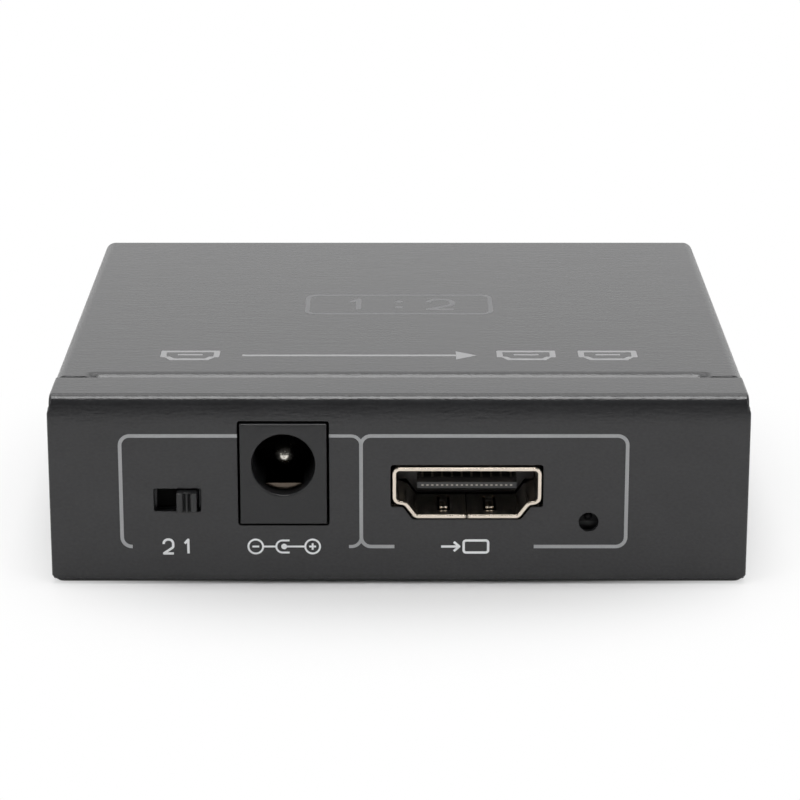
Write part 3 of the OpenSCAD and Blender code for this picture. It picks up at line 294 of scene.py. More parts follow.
SLEEVE_HALF, SLEEVE_H, SOCKET_Z, SOCKET_GAP = 7.55, 5.4, 7.2, 0.18
FOOT_HALF, NECK_HALF, NECK_Z = 5.52, 6.48, 1.15
VIDEO_IN_X, VIDEO_OUT_1_X, VIDEO_OUT_2_X = 6.9, 18.0, -10.0
JACK_X, JACK_LOW, JACK_W, JACK_H, JACK_GAP, JACK_HOLE_R = -11.7, 6.6, 8.8, 10.6, 0.22, 0.25
SLOT_X, SLOT_Z, SLOT_W, SLOT_H, SLOT_R = -22.5, 9.05, 4.77, 2.45, 0.2
LED_Z, LED_R = 6.7, 1.0
LED_FRONT_X, LED_REAR_X = 19.3, (5.6, -22.4)
STANDOFF_X, STANDOFF_Y, SHANK_R = 29.3, 20.0, 2.1
EAR_Y, EAR_W, EAR_LOW, EAR_TOP, EAR_R, EAR_FOOT_R = 16.0, 9.0, 0.4, 13.5, 1.2, 0.1
SCREW_Z, TAPPED_R = 10.0, 1.3


def socket_opening(x):
    """Panel opening round a video socket: a box on a tapered foot, with a small gap to the sleeve."""
    wide, top = SLEEVE_HALF + SOCKET_GAP, SLEEVE_H + SOCKET_GAP
    right = np.array([(FOOT_HALF, -SOCKET_GAP), (NECK_HALF, NECK_Z), (wide, NECK_Z), (wide, top)])
    ring = np.vstack([right, right[::-1] * (-1, 1)]) + (x, SOCKET_Z)
    radii = [0.4, 0.2, 0.2, 0.3]
    return rounded_ring(ring, radii + radii[::-1])


def stand_ear(side, y):
    """An upright ear at the floor's side edge: a plate with round upper corners and a tapped hole."""
    low, high = y - EAR_W / 2, y + EAR_W / 2
    plate = rounded_ring([(low, EAR_LOW), (high, EAR_LOW), (high, EAR_TOP), (low, EAR_TOP)],
                         [EAR_FOOT_R, EAR_FOOT_R, EAR_R, EAR_R])
    return cut_sheet([plate, as_opening(round_hole(y, SCREW_Z, TAPPED_R))], [],
                     lambda u, v, w: np.column_stack([side * (PLATE_HALF - w), u, v]), SHEET, CUT_EDGE)


v = np.union1d(stations(chassis_knots, 12), chassis_knots[9] - REAR_INSET)
section_y, section_z = chassis_along(v)[0].T
front_half = np.interp(section_z, [HEIGHT - BEND - FLANGE_EASE, HEIGHT - BEND],
                       [half_w, half_w - FLANGE_INSET])
front_half = np.minimum(front_half, half_w - CORNER_CUT + section_z)
rear_half = np.interp(section_z, [REAR_TOP - BEND - REAR_INSET, REAR_TOP - BEND],
                      [PLATE_HALF, PLATE_HALF - REAR_INSET])
half = np.where((section_y < SHEET - half_d) | (v < chassis_knots[2]), front_half, rear_half)
outline = np.vstack([np.column_stack([half, v]), np.column_stack([-half, v])[::-1]])
across_bends = [(i, 2 * len(v) - 1 - i) for i in range(1, len(v) - 1)]
panel_openings = [
    on_front(rounded_box(SLOT_X - SLOT_W / 2, SLOT_Z - SLOT_H / 2, SLOT_X + SLOT_W / 2, SLOT_Z + SLOT_H / 2,
                         SLOT_R)),
    on_front(rounded_box(JACK_X - JACK_W / 2 - JACK_GAP, JACK_LOW - JACK_GAP, JACK_X + JACK_W / 2 + JACK_GAP,
                         JACK_LOW + JACK_H + JACK_GAP, JACK_HOLE_R)),
    on_front(socket_opening(VIDEO_IN_X)),
    on_front(round_hole(LED_FRONT_X, LED_Z, LED_R)),
    on_rear(socket_opening(VIDEO_OUT_1_X)),
    on_rear(socket_opening(VIDEO_OUT_2_X)),
    *[on_rear(round_hole(x, LED_Z, LED_R)) for x in LED_REAR_X],
    *[on_floor(round_hole(x, y, SHANK_R))
      for x in (-STANDOFF_X, STANDOFF_X) for y in (-STANDOFF_Y, STANDOFF_Y)],
]
chassis_edges = [OUTER_EDGE] + [CUT_EDGE] * len(panel_openings)
folded = cut_sheet([outline, *panel_openings], across_bends, fold_chassis, SHEET, chassis_edges)
ears = [stand_ear(side, y) for side in (-1, 1) for y in (-EAR_Y, EAR_Y)]
chassis = add_piece("folded_chassis", gather(folded, *ears), powder_coat)
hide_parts("base_chassis")


# Standoffs and board: four turned and zinc-plated standoffs, riveted into the floor, carry a 1.6 mm
# glass-fibre board, drawn near black as painted shade for the box's inside seen through its holes, held by
# four small pan-head screws.
def dress(finish, *names):
    """Puts a finish on CAD nodes that keep their own shape."""
    for name in names:
        for holder in nodes[name].material_slots:
            holder.material = finish


zinc = grained("bright_zinc", (0.52, 0.50, 0.45), (0.64, 0.62, 0.56), 0.35, 0.3, 0.003, metallic=1.0)
dress(zinc, "board_standoffs", "board_screws")
# The board's near-black is painted shade for the inside of the box.
laminate = grained("board_painted_shade", (0.006, 0.0065, 0.007), (0.010, 0.0105, 0.011), 0.6, 0.4, 0.004)
dress(laminate, "circuit_board")


# Parts on the board: moulded chips and regulators, a finned aluminium sink on bonding tape, a ferrite
# inductor, plated cans and fired ceramic chips, all soldered in place.
chip_resin = grained("moulded_chip_resin", (0.012, 0.012, 0.013), (0.022, 0.022, 0.024), 0.12, 0.55, 0.006)
dress(chip_resin, "splitter_chip", "memory_chip", "voltage_regulators", "surge_arrays", "chip_resistors")
dress(grained("bonding_tape_grey", (0.30, 0.31, 0.32), (0.38, 0.39, 0.40), 0.5, 0.7, 0.01), "heat_sink_tape")
dress(grained("sink_aluminium", (0.62, 0.62, 0.63), (0.74, 0.74, 0.75), 0.2, 0.38, 0.004, metallic=1.0,
              stretch=(0.2, 1, 1)), "heat_sink")
dress(grained("ferrite_black", (0.020, 0.020, 0.021), (0.040, 0.040, 0.041), 0.15, 0.6, 0.01),
      "power_inductor")
dress(grained("can_nickel", (0.60, 0.60, 0.59), (0.70, 0.70, 0.69), 0.4, 0.26, 0.002, metallic=1.0),
      "bulk_capacitors", "crystal")
dress(grained("fired_ceramic", (0.36, 0.27, 0.17), (0.44, 0.34, 0.22), 0.2, 0.5, 0.004), "ceramic_capacitors")


# Video sockets: each sleeve is one strip of nickel-plated steel, lanced for four spring fingers and folded
# round from a seam in its underside. A black moulded blade carries nineteen plated contacts.
SLEEVE_L, SLEEVE_WALL, SLEEVE_SEAM, SEAM_RUN = 11.3, 0.38, 0.1, 0.3
SLEEVE_FOOT, SLEEVE_NECK, SLEEVE_NECK_Z, SLEEVE_ELBOW_Z = 5.3, 6.35, 1.4, 1.55
LIP_EDGE, SEAM_EDGE, LANCE_EDGE, SOCKET_LIP = 0.1, 0.03, 0.06, 32.8
FINGER_X, FINGER_W, FINGER_WINDOW = 2.35, 0.8, 1.3
FINGER_END, FINGER_KNEE, FINGER_ROOT, FINGER_RISE, FINGER_CLEAR = 1.9, 2.7, 6.2, 0.5, 0.4
LEG_Y, LEG_W, LEG_LOW, LEG_HIGH, LEG_R, LEG_EDGE = (3.2, 9.2), 1.0, -3.0, 3.0, 0.2, 0.08

nickel = grained("warm_nickel_plate", (0.66, 0.58, 0.49), (0.78, 0.70, 0.60), 0.3, 0.24, 0.0025, metallic=1.0)
black_moulding = grained("black_moulding", (0.005, 0.005, 0.0055), (0.009, 0.009, 0.0095), 0.18, 0.34, 0.003)
black_moulding.node_tree.nodes["Principled BSDF"].inputs["Specular IOR Level"].default_value = 0.7
plated = grained("contact_plating", (0.34, 0.32, 0.28), (0.46, 0.43, 0.38), 0.25, 0.4, 0.002, metallic=1.0)

sleeve_side = np.array([(SLEEVE_SEAM / 2, 0), (SLEEVE_FOOT, 0), (SLEEVE_NECK, SLEEVE_NECK_Z),
                        (SLEEVE_HALF, SLEEVE_ELBOW_Z), (SLEEVE_HALF, SLEEVE_H)])
side_radii = [0.7, 0.6, 0.8, 0.7]
sleeve_knots, sleeve_along = rounded_path(np.vstack([sleeve_side, sleeve_side[::-1] * (-1, 1)]),
                                          side_radii + side_radii[::-1])
sleeve_round = sleeve_knots[-1]
finger_at = np.array([FINGER_X - SLEEVE_SEAM / 2, sleeve_round / 2 - FINGER_X, sleeve_round / 2 + FINGER_X,
                      sleeve_round - FINGER_X + SLEEVE_SEAM / 2])


def fold_sleeve(u, v, w):
    """Round the sleeve is the distance along its outline, and back from the lip is Y. A finger leans into
    the mouth in a smooth step from its root to its knee, and curls back along a parabola to its free end."""
    point, normal = sleeve_along(u)
    lean = np.clip((FINGER_ROOT - v) / (FINGER_ROOT - FINGER_KNEE), 0, 1)
    curl = np.clip((FINGER_KNEE - v) / (FINGER_KNEE - FINGER_END), 0, 1)
    bent = FINGER_RISE * (lean * lean * (3 - 2 * lean) - 0.5 * curl * curl)
    on_finger = np.min(np.abs(u[:, None] - finger_at), axis=1) < (FINGER_W + FINGER_WINDOW) / 4
    point = point - normal * (w + np.where(on_finger, bent, 0))[:, None]
    return np.column_stack([point[:, 0], v, point[:, 1]])


s = np.union1d(stations(sleeve_knots, 8), [SEAM_RUN, sleeve_round - SEAM_RUN])
strip = np.vstack([np.column_stack([s, np.zeros_like(s)]),
                   np.column_stack([s, np.full_like(s, SLEEVE_L)])[::-1]])
strip_ribs = [(i, 2 * len(s) - 1 - i) for i in range(1, len(s) - 1)]
reach = np.linspace(FINGER_ROOT, FINGER_END, 13)
window_end = FINGER_END - FINGER_CLEAR
window = np.array([(1, FINGER_ROOT), (1, window_end), (-1, window_end), (-1, FINGER_ROOT)])
window[:, 0] *= FINGER_WINDOW / 2
tongue = np.column_stack([np.full_like(reach, FINGER_W / 2), reach])
lance = np.vstack([window, tongue * (-1, 1), tongue[::-1]])
lances = [lance + (at, 0) for at in finger_at]
finger_starts = len(strip) + len(window) + len(lance) * np.arange(len(lances))
finger_ribs = [(start + i, start + 2 * len(reach) - 1 - i)
               for start in finger_starts for i in range(1, len(reach) - 1)]
lip_edge = np.where((s > 0) & (s < sleeve_round), LIP_EDGE, SEAM_EDGE)
sleeve = cut_sheet([strip, *lances], strip_ribs + finger_ribs, fold_sleeve, SLEEVE_WALL,
                   [np.append(lip_edge, lip_edge)] + [LANCE_EDGE] * len(lances))
legs = [cut_sheet([rounded_box(y - LEG_W / 2, LEG_LOW, y + LEG_W / 2, LEG_HIGH, LEG_R)], [],
                  lambda u, v, w: np.column_stack([side * (SLEEVE_HALF - w), u, v]), SLEEVE_WALL, LEG_EDGE)
        for side in (-1, 1) for y in LEG_Y]
sleeve_points, *sleeve_faces = gather(sleeve, *legs)
for socket, x, facing in (("video_in", VIDEO_IN_X, 1), ("video_out_1", VIDEO_OUT_1_X, -1),
                          ("video_out_2", VIDEO_OUT_2_X, -1)):
    set_in = sleeve_points * (facing, facing, 1) + (x, -facing * SOCKET_LIP, SOCKET_Z)
    piece = add_piece(socket + "_formed_sleeve", (set_in, *sleeve_faces), nickel)
    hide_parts(socket + "_sleeve")
    dress(black_moulding, socket + "_insulator")
    dress(plated, socket + "_contacts")


# Power jack: a satin black moulding with a square head in its cut-out, a round bore, and a barrel on a flat
# foot behind. A turned, tin-plated centre pin and a flat leaf spring sit in the bore.
JACK_Y, JACK_L, JACK_HEAD_L = -32.8, 13.0, 3.5
JACK_AXIS, BOARD_TOP = 12.9, 6.4
BORE_R, BORE_L, BARREL_R, SHANK_HOLE_R = 3.2, 9.3, 3.9, 0.7
HEAD_EDGE, BORE_EDGE, BARREL_EDGE, SHOULDER_EDGE = 0.15, 0.22, 0.2, 0.15
HEAD_UP, HEAD_DOWN, FOOT_DOWN = JACK_LOW + JACK_H - JACK_AXIS, JACK_AXIS - JACK_LOW, JACK_AXIS - BOARD_TOP


def skin(rows):
    """Closed surface through rows of points that go round and come back to the first row, as quads."""
    count, size = rows.shape[:2]
    index = np.arange(count * size).reshape(count, size)
    down, right = np.roll(index, -1, axis=0), np.roll(index, -1, axis=1)
    quads = np.stack([index, down, np.roll(down, -1, axis=1), right], -1).reshape(-1, 4)
    return rows.reshape(-1, 3), np.empty((0, 3), int), quads


corner_angles = np.arctan2(np.array([-HEAD_DOWN, -HEAD_DOWN, HEAD_UP, HEAD_UP]),
                           np.array([-1, 1, 1, -1]) * JACK_W / 2)
foot_angles = np.arctan2(np.full(2, -FOOT_DOWN), np.array([-1, 1]) * BARREL_R)
even_angles = np.linspace(-math.pi, math.pi, 97)[:-1]
angle = np.unique(np.concatenate([even_angles, corner_angles, foot_angles]).round(6))
ray_x, ray_z = np.cos(angle), np.sin(angle)
part_x, part_z = np.maximum(np.abs(ray_x), 1e-9), np.maximum(np.abs(ray_z), 1e-9)


def square_ring(inset, y):
    """Where rays from the bore's axis meet the head's square outline, drawn in by inset."""
    rise = np.where(ray_z > 0, HEAD_UP, HEAD_DOWN) - inset
    far = np.minimum((JACK_W / 2 - inset) / part_x, rise / part_z)
    return np.column_stack([far * ray_x, np.full_like(far, y), far * ray_z])


def barrel_ring(inset, y):
    """Where the rays meet the barrel: a half round above the axis, straight sides and a flat foot below."""
    foot = np.minimum((BARREL_R - inset) / part_x, (FOOT_DOWN - inset) / part_z)
    far = np.where(ray_z > 0, BARREL_R - inset, foot)
    return np.column_stack([far * ray_x, np.full_like(far, y), far * ray_z])


def bore_ring(radius, y):
    """Plain circle round the bore's axis."""
    return np.column_stack([radius * ray_x, np.full_like(ray_x, y), radius * ray_z])


quarter = np.linspace(0, math.pi / 2, 5)
jack_rows = np.stack([
    bore_ring(SHANK_HOLE_R, JACK_L), barrel_ring(BARREL_EDGE, JACK_L),
    barrel_ring(0.3 * BARREL_EDGE, JACK_L - 0.3 * BARREL_EDGE), barrel_ring(0, JACK_L - BARREL_EDGE),
    barrel_ring(0, JACK_HEAD_L), square_ring(SHOULDER_EDGE, JACK_HEAD_L),
    square_ring(0, JACK_HEAD_L - SHOULDER_EDGE),
    *[square_ring(HEAD_EDGE * (1 - math.cos(t)), HEAD_EDGE * (1 - math.sin(t))) for t in quarter],
    *[bore_ring(BORE_R + BORE_EDGE * (1 - math.sin(t)), BORE_EDGE * (1 - math.cos(t))) for t in quarter],
    bore_ring(BORE_R, BORE_L), bore_ring(SHANK_HOLE_R, BORE_L)])
jack_points, *jack_faces = skin(jack_rows)
jack_moulding = grained("jack_moulding", (0.011, 0.011, 0.012), (0.017, 0.017, 0.018), 0.25, 0.4, 0.004)
jack = add_piece("moulded_jack", (jack_points + (JACK_X, JACK_Y, JACK_AXIS), *jack_faces), jack_moulding)
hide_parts("power_jack_body")
tin = grained("bright_tin", (0.66, 0.64, 0.59), (0.78, 0.76, 0.71), 0.3, 0.2, 0.002, metallic=1.0)
dress(tin, "power_jack_terminals", "switch_terminals")
turned_pin = grained("turned_pin", (0.70, 0.67, 0.61), (0.82, 0.79, 0.72), 0.3, 0.26, 0.002, metallic=1.0)
dress(turned_pin, "power_jack_pin")
# The leaf's dark brown tone is painted shade from deep in the bore, with a painted reflection of the pin in
# it; it is not the colour of its plating.
leaf_painted_shade = grained("leaf_painted_shade", (0.085, 0.068, 0.054), (0.12, 0.098, 0.08), 0.3, 0.16, 0.001, metallic=1.0)
dress(leaf_painted_shade, "power_jack_spring")


# Slide switch: a stamped frame, drawn black as painted shade behind the panel's slot, is closed by a brown
# phenolic base and holds a black moulded slider, whose square knob stands out through the slot. Its face has a
# scoop with one fine rib.
KNOB_X, KNOB_Z, KNOB_W, KNOB_H, KNOB_FACE = -21.5, 9.05, 2.05, 2.05, -33.5
KNOB_EDGE, KNOB_ROOT, KNOB_CORNER_POINTS = 0.1, 0.3, 8
SCOOP_R, SCOOP_DEEP, SCOOP_RIB = 0.42, 0.4, 0.13
SKIRT_W, SKIRT_H, SKIRT_FRONT, SKIRT_T, SKIRT_R, SKIRT_EDGE = 6.7, 3.56, -30.98, 0.6, 0.15, 0.05

black_zinc_and_shade = grained("black_zinc_and_shade", (0.022, 0.022, 0.023), (0.045, 0.045, 0.047), 0.2, 0.32, 0.003,
                     metallic=0.6)
# The frame's black is painted shade in the slot; the cover screws use the same black zinc as their own finish.
dress(black_zinc_and_shade, "switch_frame")
dress(grained("phenolic_brown", (0.10, 0.050, 0.022), (0.15, 0.080, 0.036), 0.4, 0.5, 0.006), "switch_base")
dress(plated, "switch_wiper")

scoop_half = math.sqrt(SCOOP_R ** 2 - (SCOOP_R - SCOOP_DEEP) ** 2)
sweep = np.sin(np.linspace(-math.pi / 2, math.pi / 2, 25))
scoop_x = np.sort(np.append(scoop_half * sweep, SCOOP_RIB / 2 * np.array([-1.02, -1, 1, 1.02])))
scoop_y = SCOOP_DEEP - SCOOP_R + np.sqrt(SCOOP_R ** 2 - scoop_x ** 2)
scoop_y = np.where(np.abs(scoop_x) < SCOOP_RIB / 2 * 1.01, SCOOP_DEEP / 4, scoop_y)
knob_box = rounded_box(-KNOB_W / 2, KNOB_FACE, KNOB_W / 2, SKIRT_FRONT + KNOB_ROOT, KNOB_EDGE)
knob_plan = np.vstack([knob_box[:KNOB_CORNER_POINTS], np.column_stack([scoop_x, KNOB_FACE + scoop_y]),
                       knob_box[KNOB_CORNER_POINTS:]])


def stand_knob(u, v, w):
    """The plan of the knob, carried down from its top."""
    return np.column_stack([KNOB_X + u, v, KNOB_Z + KNOB_H / 2 - w])


def stand_skirt(u, v, w):
    """The plate that runs in the frame, carried back from its front."""
    return np.column_stack([KNOB_X + u, SKIRT_FRONT + w, KNOB_Z + v])


knob = cut_sheet([knob_plan], [], stand_knob, KNOB_H, KNOB_EDGE)
skirt = cut_sheet([rounded_box(-SKIRT_W / 2, -SKIRT_H / 2, SKIRT_W / 2, SKIRT_H / 2, SKIRT_R)], [],
                  stand_skirt, SKIRT_T, SKIRT_EDGE)
knob_moulding = grained("knob_moulding", (0.012, 0.012, 0.013), (0.020, 0.020, 0.021), 0.2, 0.36, 0.004)
# The slider's plate is part of the same moulding as the knob; it is drawn darker and duller than the knob as
# painted shade in the switch behind the slot.
shaded_slider_moulding = grained("shaded_slider_moulding", (0.003, 0.003, 0.003), (0.005, 0.005, 0.005), 0.2, 0.85, 0.004)
shaded_slider_moulding.node_tree.nodes["Principled BSDF"].inputs["Specular IOR Level"].default_value = 0.1
slider = add_piece("moulded_knob", knob, knob_moulding, body="slider")
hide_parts("switch_slider")
add_piece("slider_plate", skirt, shaded_slider_moulding, body="slider")


# Indicators: three small side-view lamps on the board's edge, each behind a 2 mm hole, their resin drawn near
# black as painted shade inside the hole. They are shown unlit.
# The lamps' near-black resin is painted shade in their holes.
lamp_resin = grained("lamp_resin", (0.006, 0.006, 0.0065), (0.010, 0.010, 0.0105), 0.5, 0.5, 0.002)
lamp_resin.node_tree.nodes["Principled BSDF"].inputs["Specular IOR Level"].default_value = 0.15
dress(lamp_resin, "input_led", "output_1_led", "output_2_led")


# Top cover: a second sheet of the same steel, folded down at both sides and laid over the rear panel. At its
# front a wide tongue is pressed down, with soft ends, and slips under the chassis flange.
SEAM_GAP, LAP_GAP, SIDE_LIFT = 0.25, 0.1, 0.3
TONGUE_HALF, TONGUE_FADE, TONGUE_REACH, JOGGLE_L = 30.5, 1.9, 4.0, 1.7
TONGUE_DROP = SHEET + LAP_GAP
WALL_RELIEF, CLEAR_R = 0.15, 1.45

cover_knots, cover_along = rounded_path(
    [(half_w, SIDE_LIFT), (half_w, HEIGHT), (-half_w, HEIGHT), (-half_w, SIDE_LIFT)], BEND)
cover_middle = cover_knots[-1] / 2
cover_edge = flange_edge - SEAM_GAP
wall_end = half_d - SHEET - LAP_GAP
tongue_end = flange_edge + TONGUE_REACH


def fold_cover(u, v, w):
    """Across the sheet, the distance from its middle follows the inverted U of the section; along it is Y.
    The tongue dips by half a cosine wave over the joggle's length, and the dip fades out by another half wave
    beyond each end of the tongue."""
    point, normal = cover_along(cover_middle + u)
    down = np.clip((JOGGLE_L - cover_edge - v) / JOGGLE_L, 0, 1)
    fade = np.clip((TONGUE_HALF + TONGUE_FADE - np.abs(u)) / TONGUE_FADE, 0, 1)
    dip = TONGUE_DROP * (1 - np.cos(math.pi * down)) * (1 - np.cos(math.pi * fade)) / 4
    point = point - normal * (w + dip)[:, None]
    return np.column_stack([point[:, 0], v, point[:, 1]])


bend_u = stations(cover_knots, 10) - cover_middle
bend_u = bend_u[(bend_u > 0) & (bend_u < cover_middle - 0.01)]
wall_u = cover_middle - (HEIGHT - BEND - SIDE_LIFT)
fade_u = TONGUE_HALF + np.linspace(0, TONGUE_FADE, 13)
cover_front = np.vstack([
    [(TONGUE_HALF, -tongue_end)],
    np.column_stack([fade_u, np.full_like(fade_u, -cover_edge)]),
    np.column_stack([bend_u, np.full_like(bend_u, -cover_edge)]),
    [(wall_u + WALL_RELIEF, -cover_edge), (wall_u + WALL_RELIEF, -wall_end), (cover_middle, -wall_end)]])
rear_u = np.concatenate([[cover_middle], bend_u[::-1], -bend_u, [-cover_middle]])
cover_outline = np.vstack([np.column_stack([rear_u, np.full_like(rear_u, half_d)]),
                           cover_front[::-1] * (-1, 1), cover_front])
right_start = len(rear_u) + len(cover_front)
bends = np.arange(len(bend_u))
over_bend = 1 + len(fade_u) + bends
cover_ribs = np.vstack([np.column_stack([len(bend_u) - bends, right_start + over_bend]),
                        np.column_stack([1 + len(bend_u) + bends, right_start - 1 - over_bend])])
press_u = np.concatenate([-fade_u[::-1], np.linspace(-TONGUE_HALF, TONGUE_HALF, 9)[1:-1], fade_u])
press_v = np.linspace(JOGGLE_L, 2 * CUT_EDGE, 18) - cover_edge
pressed = np.stack(np.meshgrid(press_u, press_v), -1).reshape(-1, 2)
screw_u = cover_middle - SCREW_Z + SIDE_LIFT
cover_holes = [as_opening(round_hole(u, y, CLEAR_R)) for u in (-screw_u, screw_u) for y in (-EAR_Y, EAR_Y)]
half_edge = np.where(np.arange(len(cover_front)) <= len(fade_u), CUT_EDGE, OUTER_EDGE)
cover_edges = [np.concatenate([np.full(len(rear_u), OUTER_EDGE), half_edge[::-1], half_edge])]
cover_edges += [CUT_EDGE] * len(cover_holes)
cover_sheet = cut_sheet([cover_outline, *cover_holes], cover_ribs, fold_cover, SHEET, cover_edges, pressed)
cover = add_piece("folded_cover", cover_sheet, powder_coat)
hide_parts("top_cover")


# Cover screws: four small black pan-head screws with a cross recess, driven through the cover's sides into
# the tapped ears.
HEAD_R, HEAD_H, THREAD_R, THREAD_L = 2.3, 1.2, 1.25, 3.2
CROWN_SHARE, CROWN_FALL, RIM_DROP = 0.86, 0.32, 0.45
RECESS_L, RECESS_HALF, RECESS_DEEP, RECESS_RIM, RECESS_SLOPE = 1.25, 0.3, 0.65, 1.12, 0.25


def screw_rows(angle):
    """A screw turned about its axis. Across the top the height falls as the fourth power of the radius, less
    a cross-shaped recess with sloping walls; the rim, the shank and its end are plain circles."""
    radius = np.linspace(0, 1, 30) ** 0.9 * HEAD_R * CROWN_SHARE
    x, y = radius[:, None] * np.cos(angle), radius[:, None] * np.sin(angle)
    far_x, far_y = np.abs(x), np.abs(y)
    arm = np.minimum(np.maximum(far_x / RECESS_L, far_y / RECESS_HALF),
                     np.maximum(far_y / RECESS_L, far_x / RECESS_HALF))
    top = HEAD_H * (1 - CROWN_FALL * (radius / HEAD_R) ** 4)[:, None]
    top = top - RECESS_DEEP * np.clip((RECESS_RIM - arm) / RECESS_SLOPE, 0, 1)
    crown = np.stack([x, y, top], -1)
    rim_t = np.linspace(0, math.pi / 2, 6)[1:]
    low = HEAD_H * (1 - CROWN_FALL * CROWN_SHARE ** 4)
    rim_r = HEAD_R * (CROWN_SHARE + (1 - CROWN_SHARE) * np.sin(rim_t))
    rim_z = low - RIM_DROP * (1 - np.cos(rim_t))
    rest_r = np.concatenate([rim_r, [HEAD_R, THREAD_R, THREAD_R, 0]])
    rest_z = np.concatenate([rim_z, [0, 0, -THREAD_L, -THREAD_L]])
    turned = np.stack([rest_r[:, None] * np.cos(angle), rest_r[:, None] * np.sin(angle),
                       np.repeat(rest_z[:, None], len(angle), 1)], -1)
    return np.concatenate([crown, turned])


screw_angle = np.linspace(0, 2 * math.pi, 65)[:-1]
screw_points, _, screw_quads = skin(screw_rows(screw_angle))
screw_quads = screw_quads[:len(screw_quads) - len(screw_angle)]
screws = []
for side in (-1, 1):
    for y in (-EAR_Y, EAR_Y):
        turned = np.column_stack([side * screw_points[:, 2] + side * half_w, side * screw_points[:, 0] + y,
                                  screw_points[:, 1] + SCREW_Z])
        screws.append((turned, np.empty((0, 3), int), screw_quads[:, ::-1]))
screw_set = add_piece("cover_screw_set", gather(*screws), black_zinc_and_shade)
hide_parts("cover_screws")


# Printed marks: a pale ink, screen-printed a few hundredths of a millimetre thick. Two rounded frames group
# the sockets of the front panel; the marks in them are plain signs for polarity, input and switch place.
INK, INK_SUNK, INK_STEP, INK_EDGE, SHARP = 0.02, 0.005, 0.0003, 0.005, 0.01
FRAME_LINE, FRAME_R = 0.37, 1.0
FRAME_LEFT, FRAME_MIDDLE, FRAME_RIGHT, FRAME_TOP, FRAME_LOW = -28.2, -3.83, 23.1, 15.9, 4.08


def stroke(corners, radii, width):
    """Outline of a printed line: a rounded path, offset by half the line's width to either side."""
    knots, along = rounded_path(corners, radii)
    point, normal = along(stations(knots, 8))
    return [np.vstack([point + normal * width / 2, (point - normal * width / 2)[::-1]])]


def ring_stroke(x, z, radius, width):
    """Printed circle: two round outlines, one inside the other."""
    return [round_hole(x, z, radius + width / 2), as_opening(round_hole(x, z, radius - width / 2))]


def box_stroke(x0, z0, x1, z1, radius, width):
    """Printed frame: two rounded rectangles, one inside the other."""
    o = width / 2
    return [rounded_box(x0 - o, z0 - o, x1 + o, z1 + o, radius + o),
            as_opening(rounded_box(x0 + o, z0 + o, x1 - o, z1 - o, max(radius - o, 0.05)))]


def dot(x, z, radius):
    """Printed spot."""
    return [round_hole(x, z, radius)]


def print_marks(name, marks, fold, finish):
    """A set of printed marks as one thin piece on a panel. Each lies a hair lower than the one before it, so
    marks that cross don't share a face."""
    laid = [cut_sheet(mark, [], lambda u, v, w: fold(u, v, w + k * INK_STEP), INK, INK_EDGE)
            for k, mark in enumerate(marks)]
    add_piece(name, gather(*laid), finish)


def on_front_face(u, v, w):
    """Flat marks, X and Z, on the outside of the front panel."""
    return np.column_stack([u, -half_d - INK + INK_SUNK + w, v])


def on_rear_face(u, v, w):
    """Flat marks, X and Z, on the outside of the rear panel."""
    return np.column_stack([u, half_d + INK - INK_SUNK - w, v])


def on_top_face(u, v, w):
    """Flat marks, X and Y, on the top of the cover."""
    return np.column_stack([u, v, HEIGHT + INK_SUNK - w])


def digit_one(x, z, size, width):
    """The figure 1: a short flag and a stem."""
    stem = x + 0.02 * size
    return stroke([(x - 0.22 * size, z + 0.72 * size), (stem, z + size), (stem, z)], [SHARP], width)


def digit_two(x, z, size, width):
    """The figure 2: a round head, a slanting neck and a flat foot."""
    h = 0.32 * size
    return stroke([(x - h, z + 0.68 * size), (x - h, z + size), (x + h, z + size), (x + h, z + 0.45 * size),
                   (x - h, z), (x + h * 1.1, z)], [0.9 * h, 0.9 * h, 0.5 * h, SHARP], width)


frame_ink = grained("frame_ink", (0.33, 0.335, 0.34), (0.39, 0.395, 0.40), 0.25, 0.5, 0.006)
mark_ink = grained("mark_ink", (0.78, 0.79, 0.80), (0.86, 0.87, 0.88), 0.25, 0.5, 0.006)
JACK_CLEAR, JOIN_RUN, JOIN_LINE = 4.64, 1.6, FRAME_LINE * 0.9
STOP_LEFT, STOP_JACK, STOP_SOCKET, STOP_RIGHT = -27.15, -5.09, -0.46, 13.75
front_frames = [
    stroke([(STOP_LEFT, FRAME_LOW), (FRAME_LEFT, FRAME_LOW), (FRAME_LEFT, FRAME_TOP),
            (JACK_X - JACK_CLEAR, FRAME_TOP)], FRAME_R, FRAME_LINE),
    stroke([(STOP_RIGHT, FRAME_LOW), (FRAME_RIGHT, FRAME_LOW), (FRAME_RIGHT, FRAME_TOP),
            (FRAME_MIDDLE, FRAME_TOP), (FRAME_MIDDLE, FRAME_LOW), (STOP_SOCKET, FRAME_LOW)],
           FRAME_R, FRAME_LINE),
    stroke([(JACK_X + JACK_CLEAR, FRAME_TOP), (FRAME_MIDDLE, FRAME_TOP), (FRAME_MIDDLE, FRAME_TOP - JOIN_RUN)],
           FRAME_R, JOIN_LINE),
    stroke([(FRAME_MIDDLE, FRAME_LOW + JOIN_RUN), (FRAME_MIDDLE, FRAME_LOW), (STOP_JACK, FRAME_LOW)],
           FRAME_R, JOIN_LINE),
]
print_marks("front_frames", front_frames, on_front_face, frame_ink)

MARK_LINE, MARK_SIZE, MARK_LOW, DIGIT_STEP = 0.25, 1.5, 3.33, 1.0


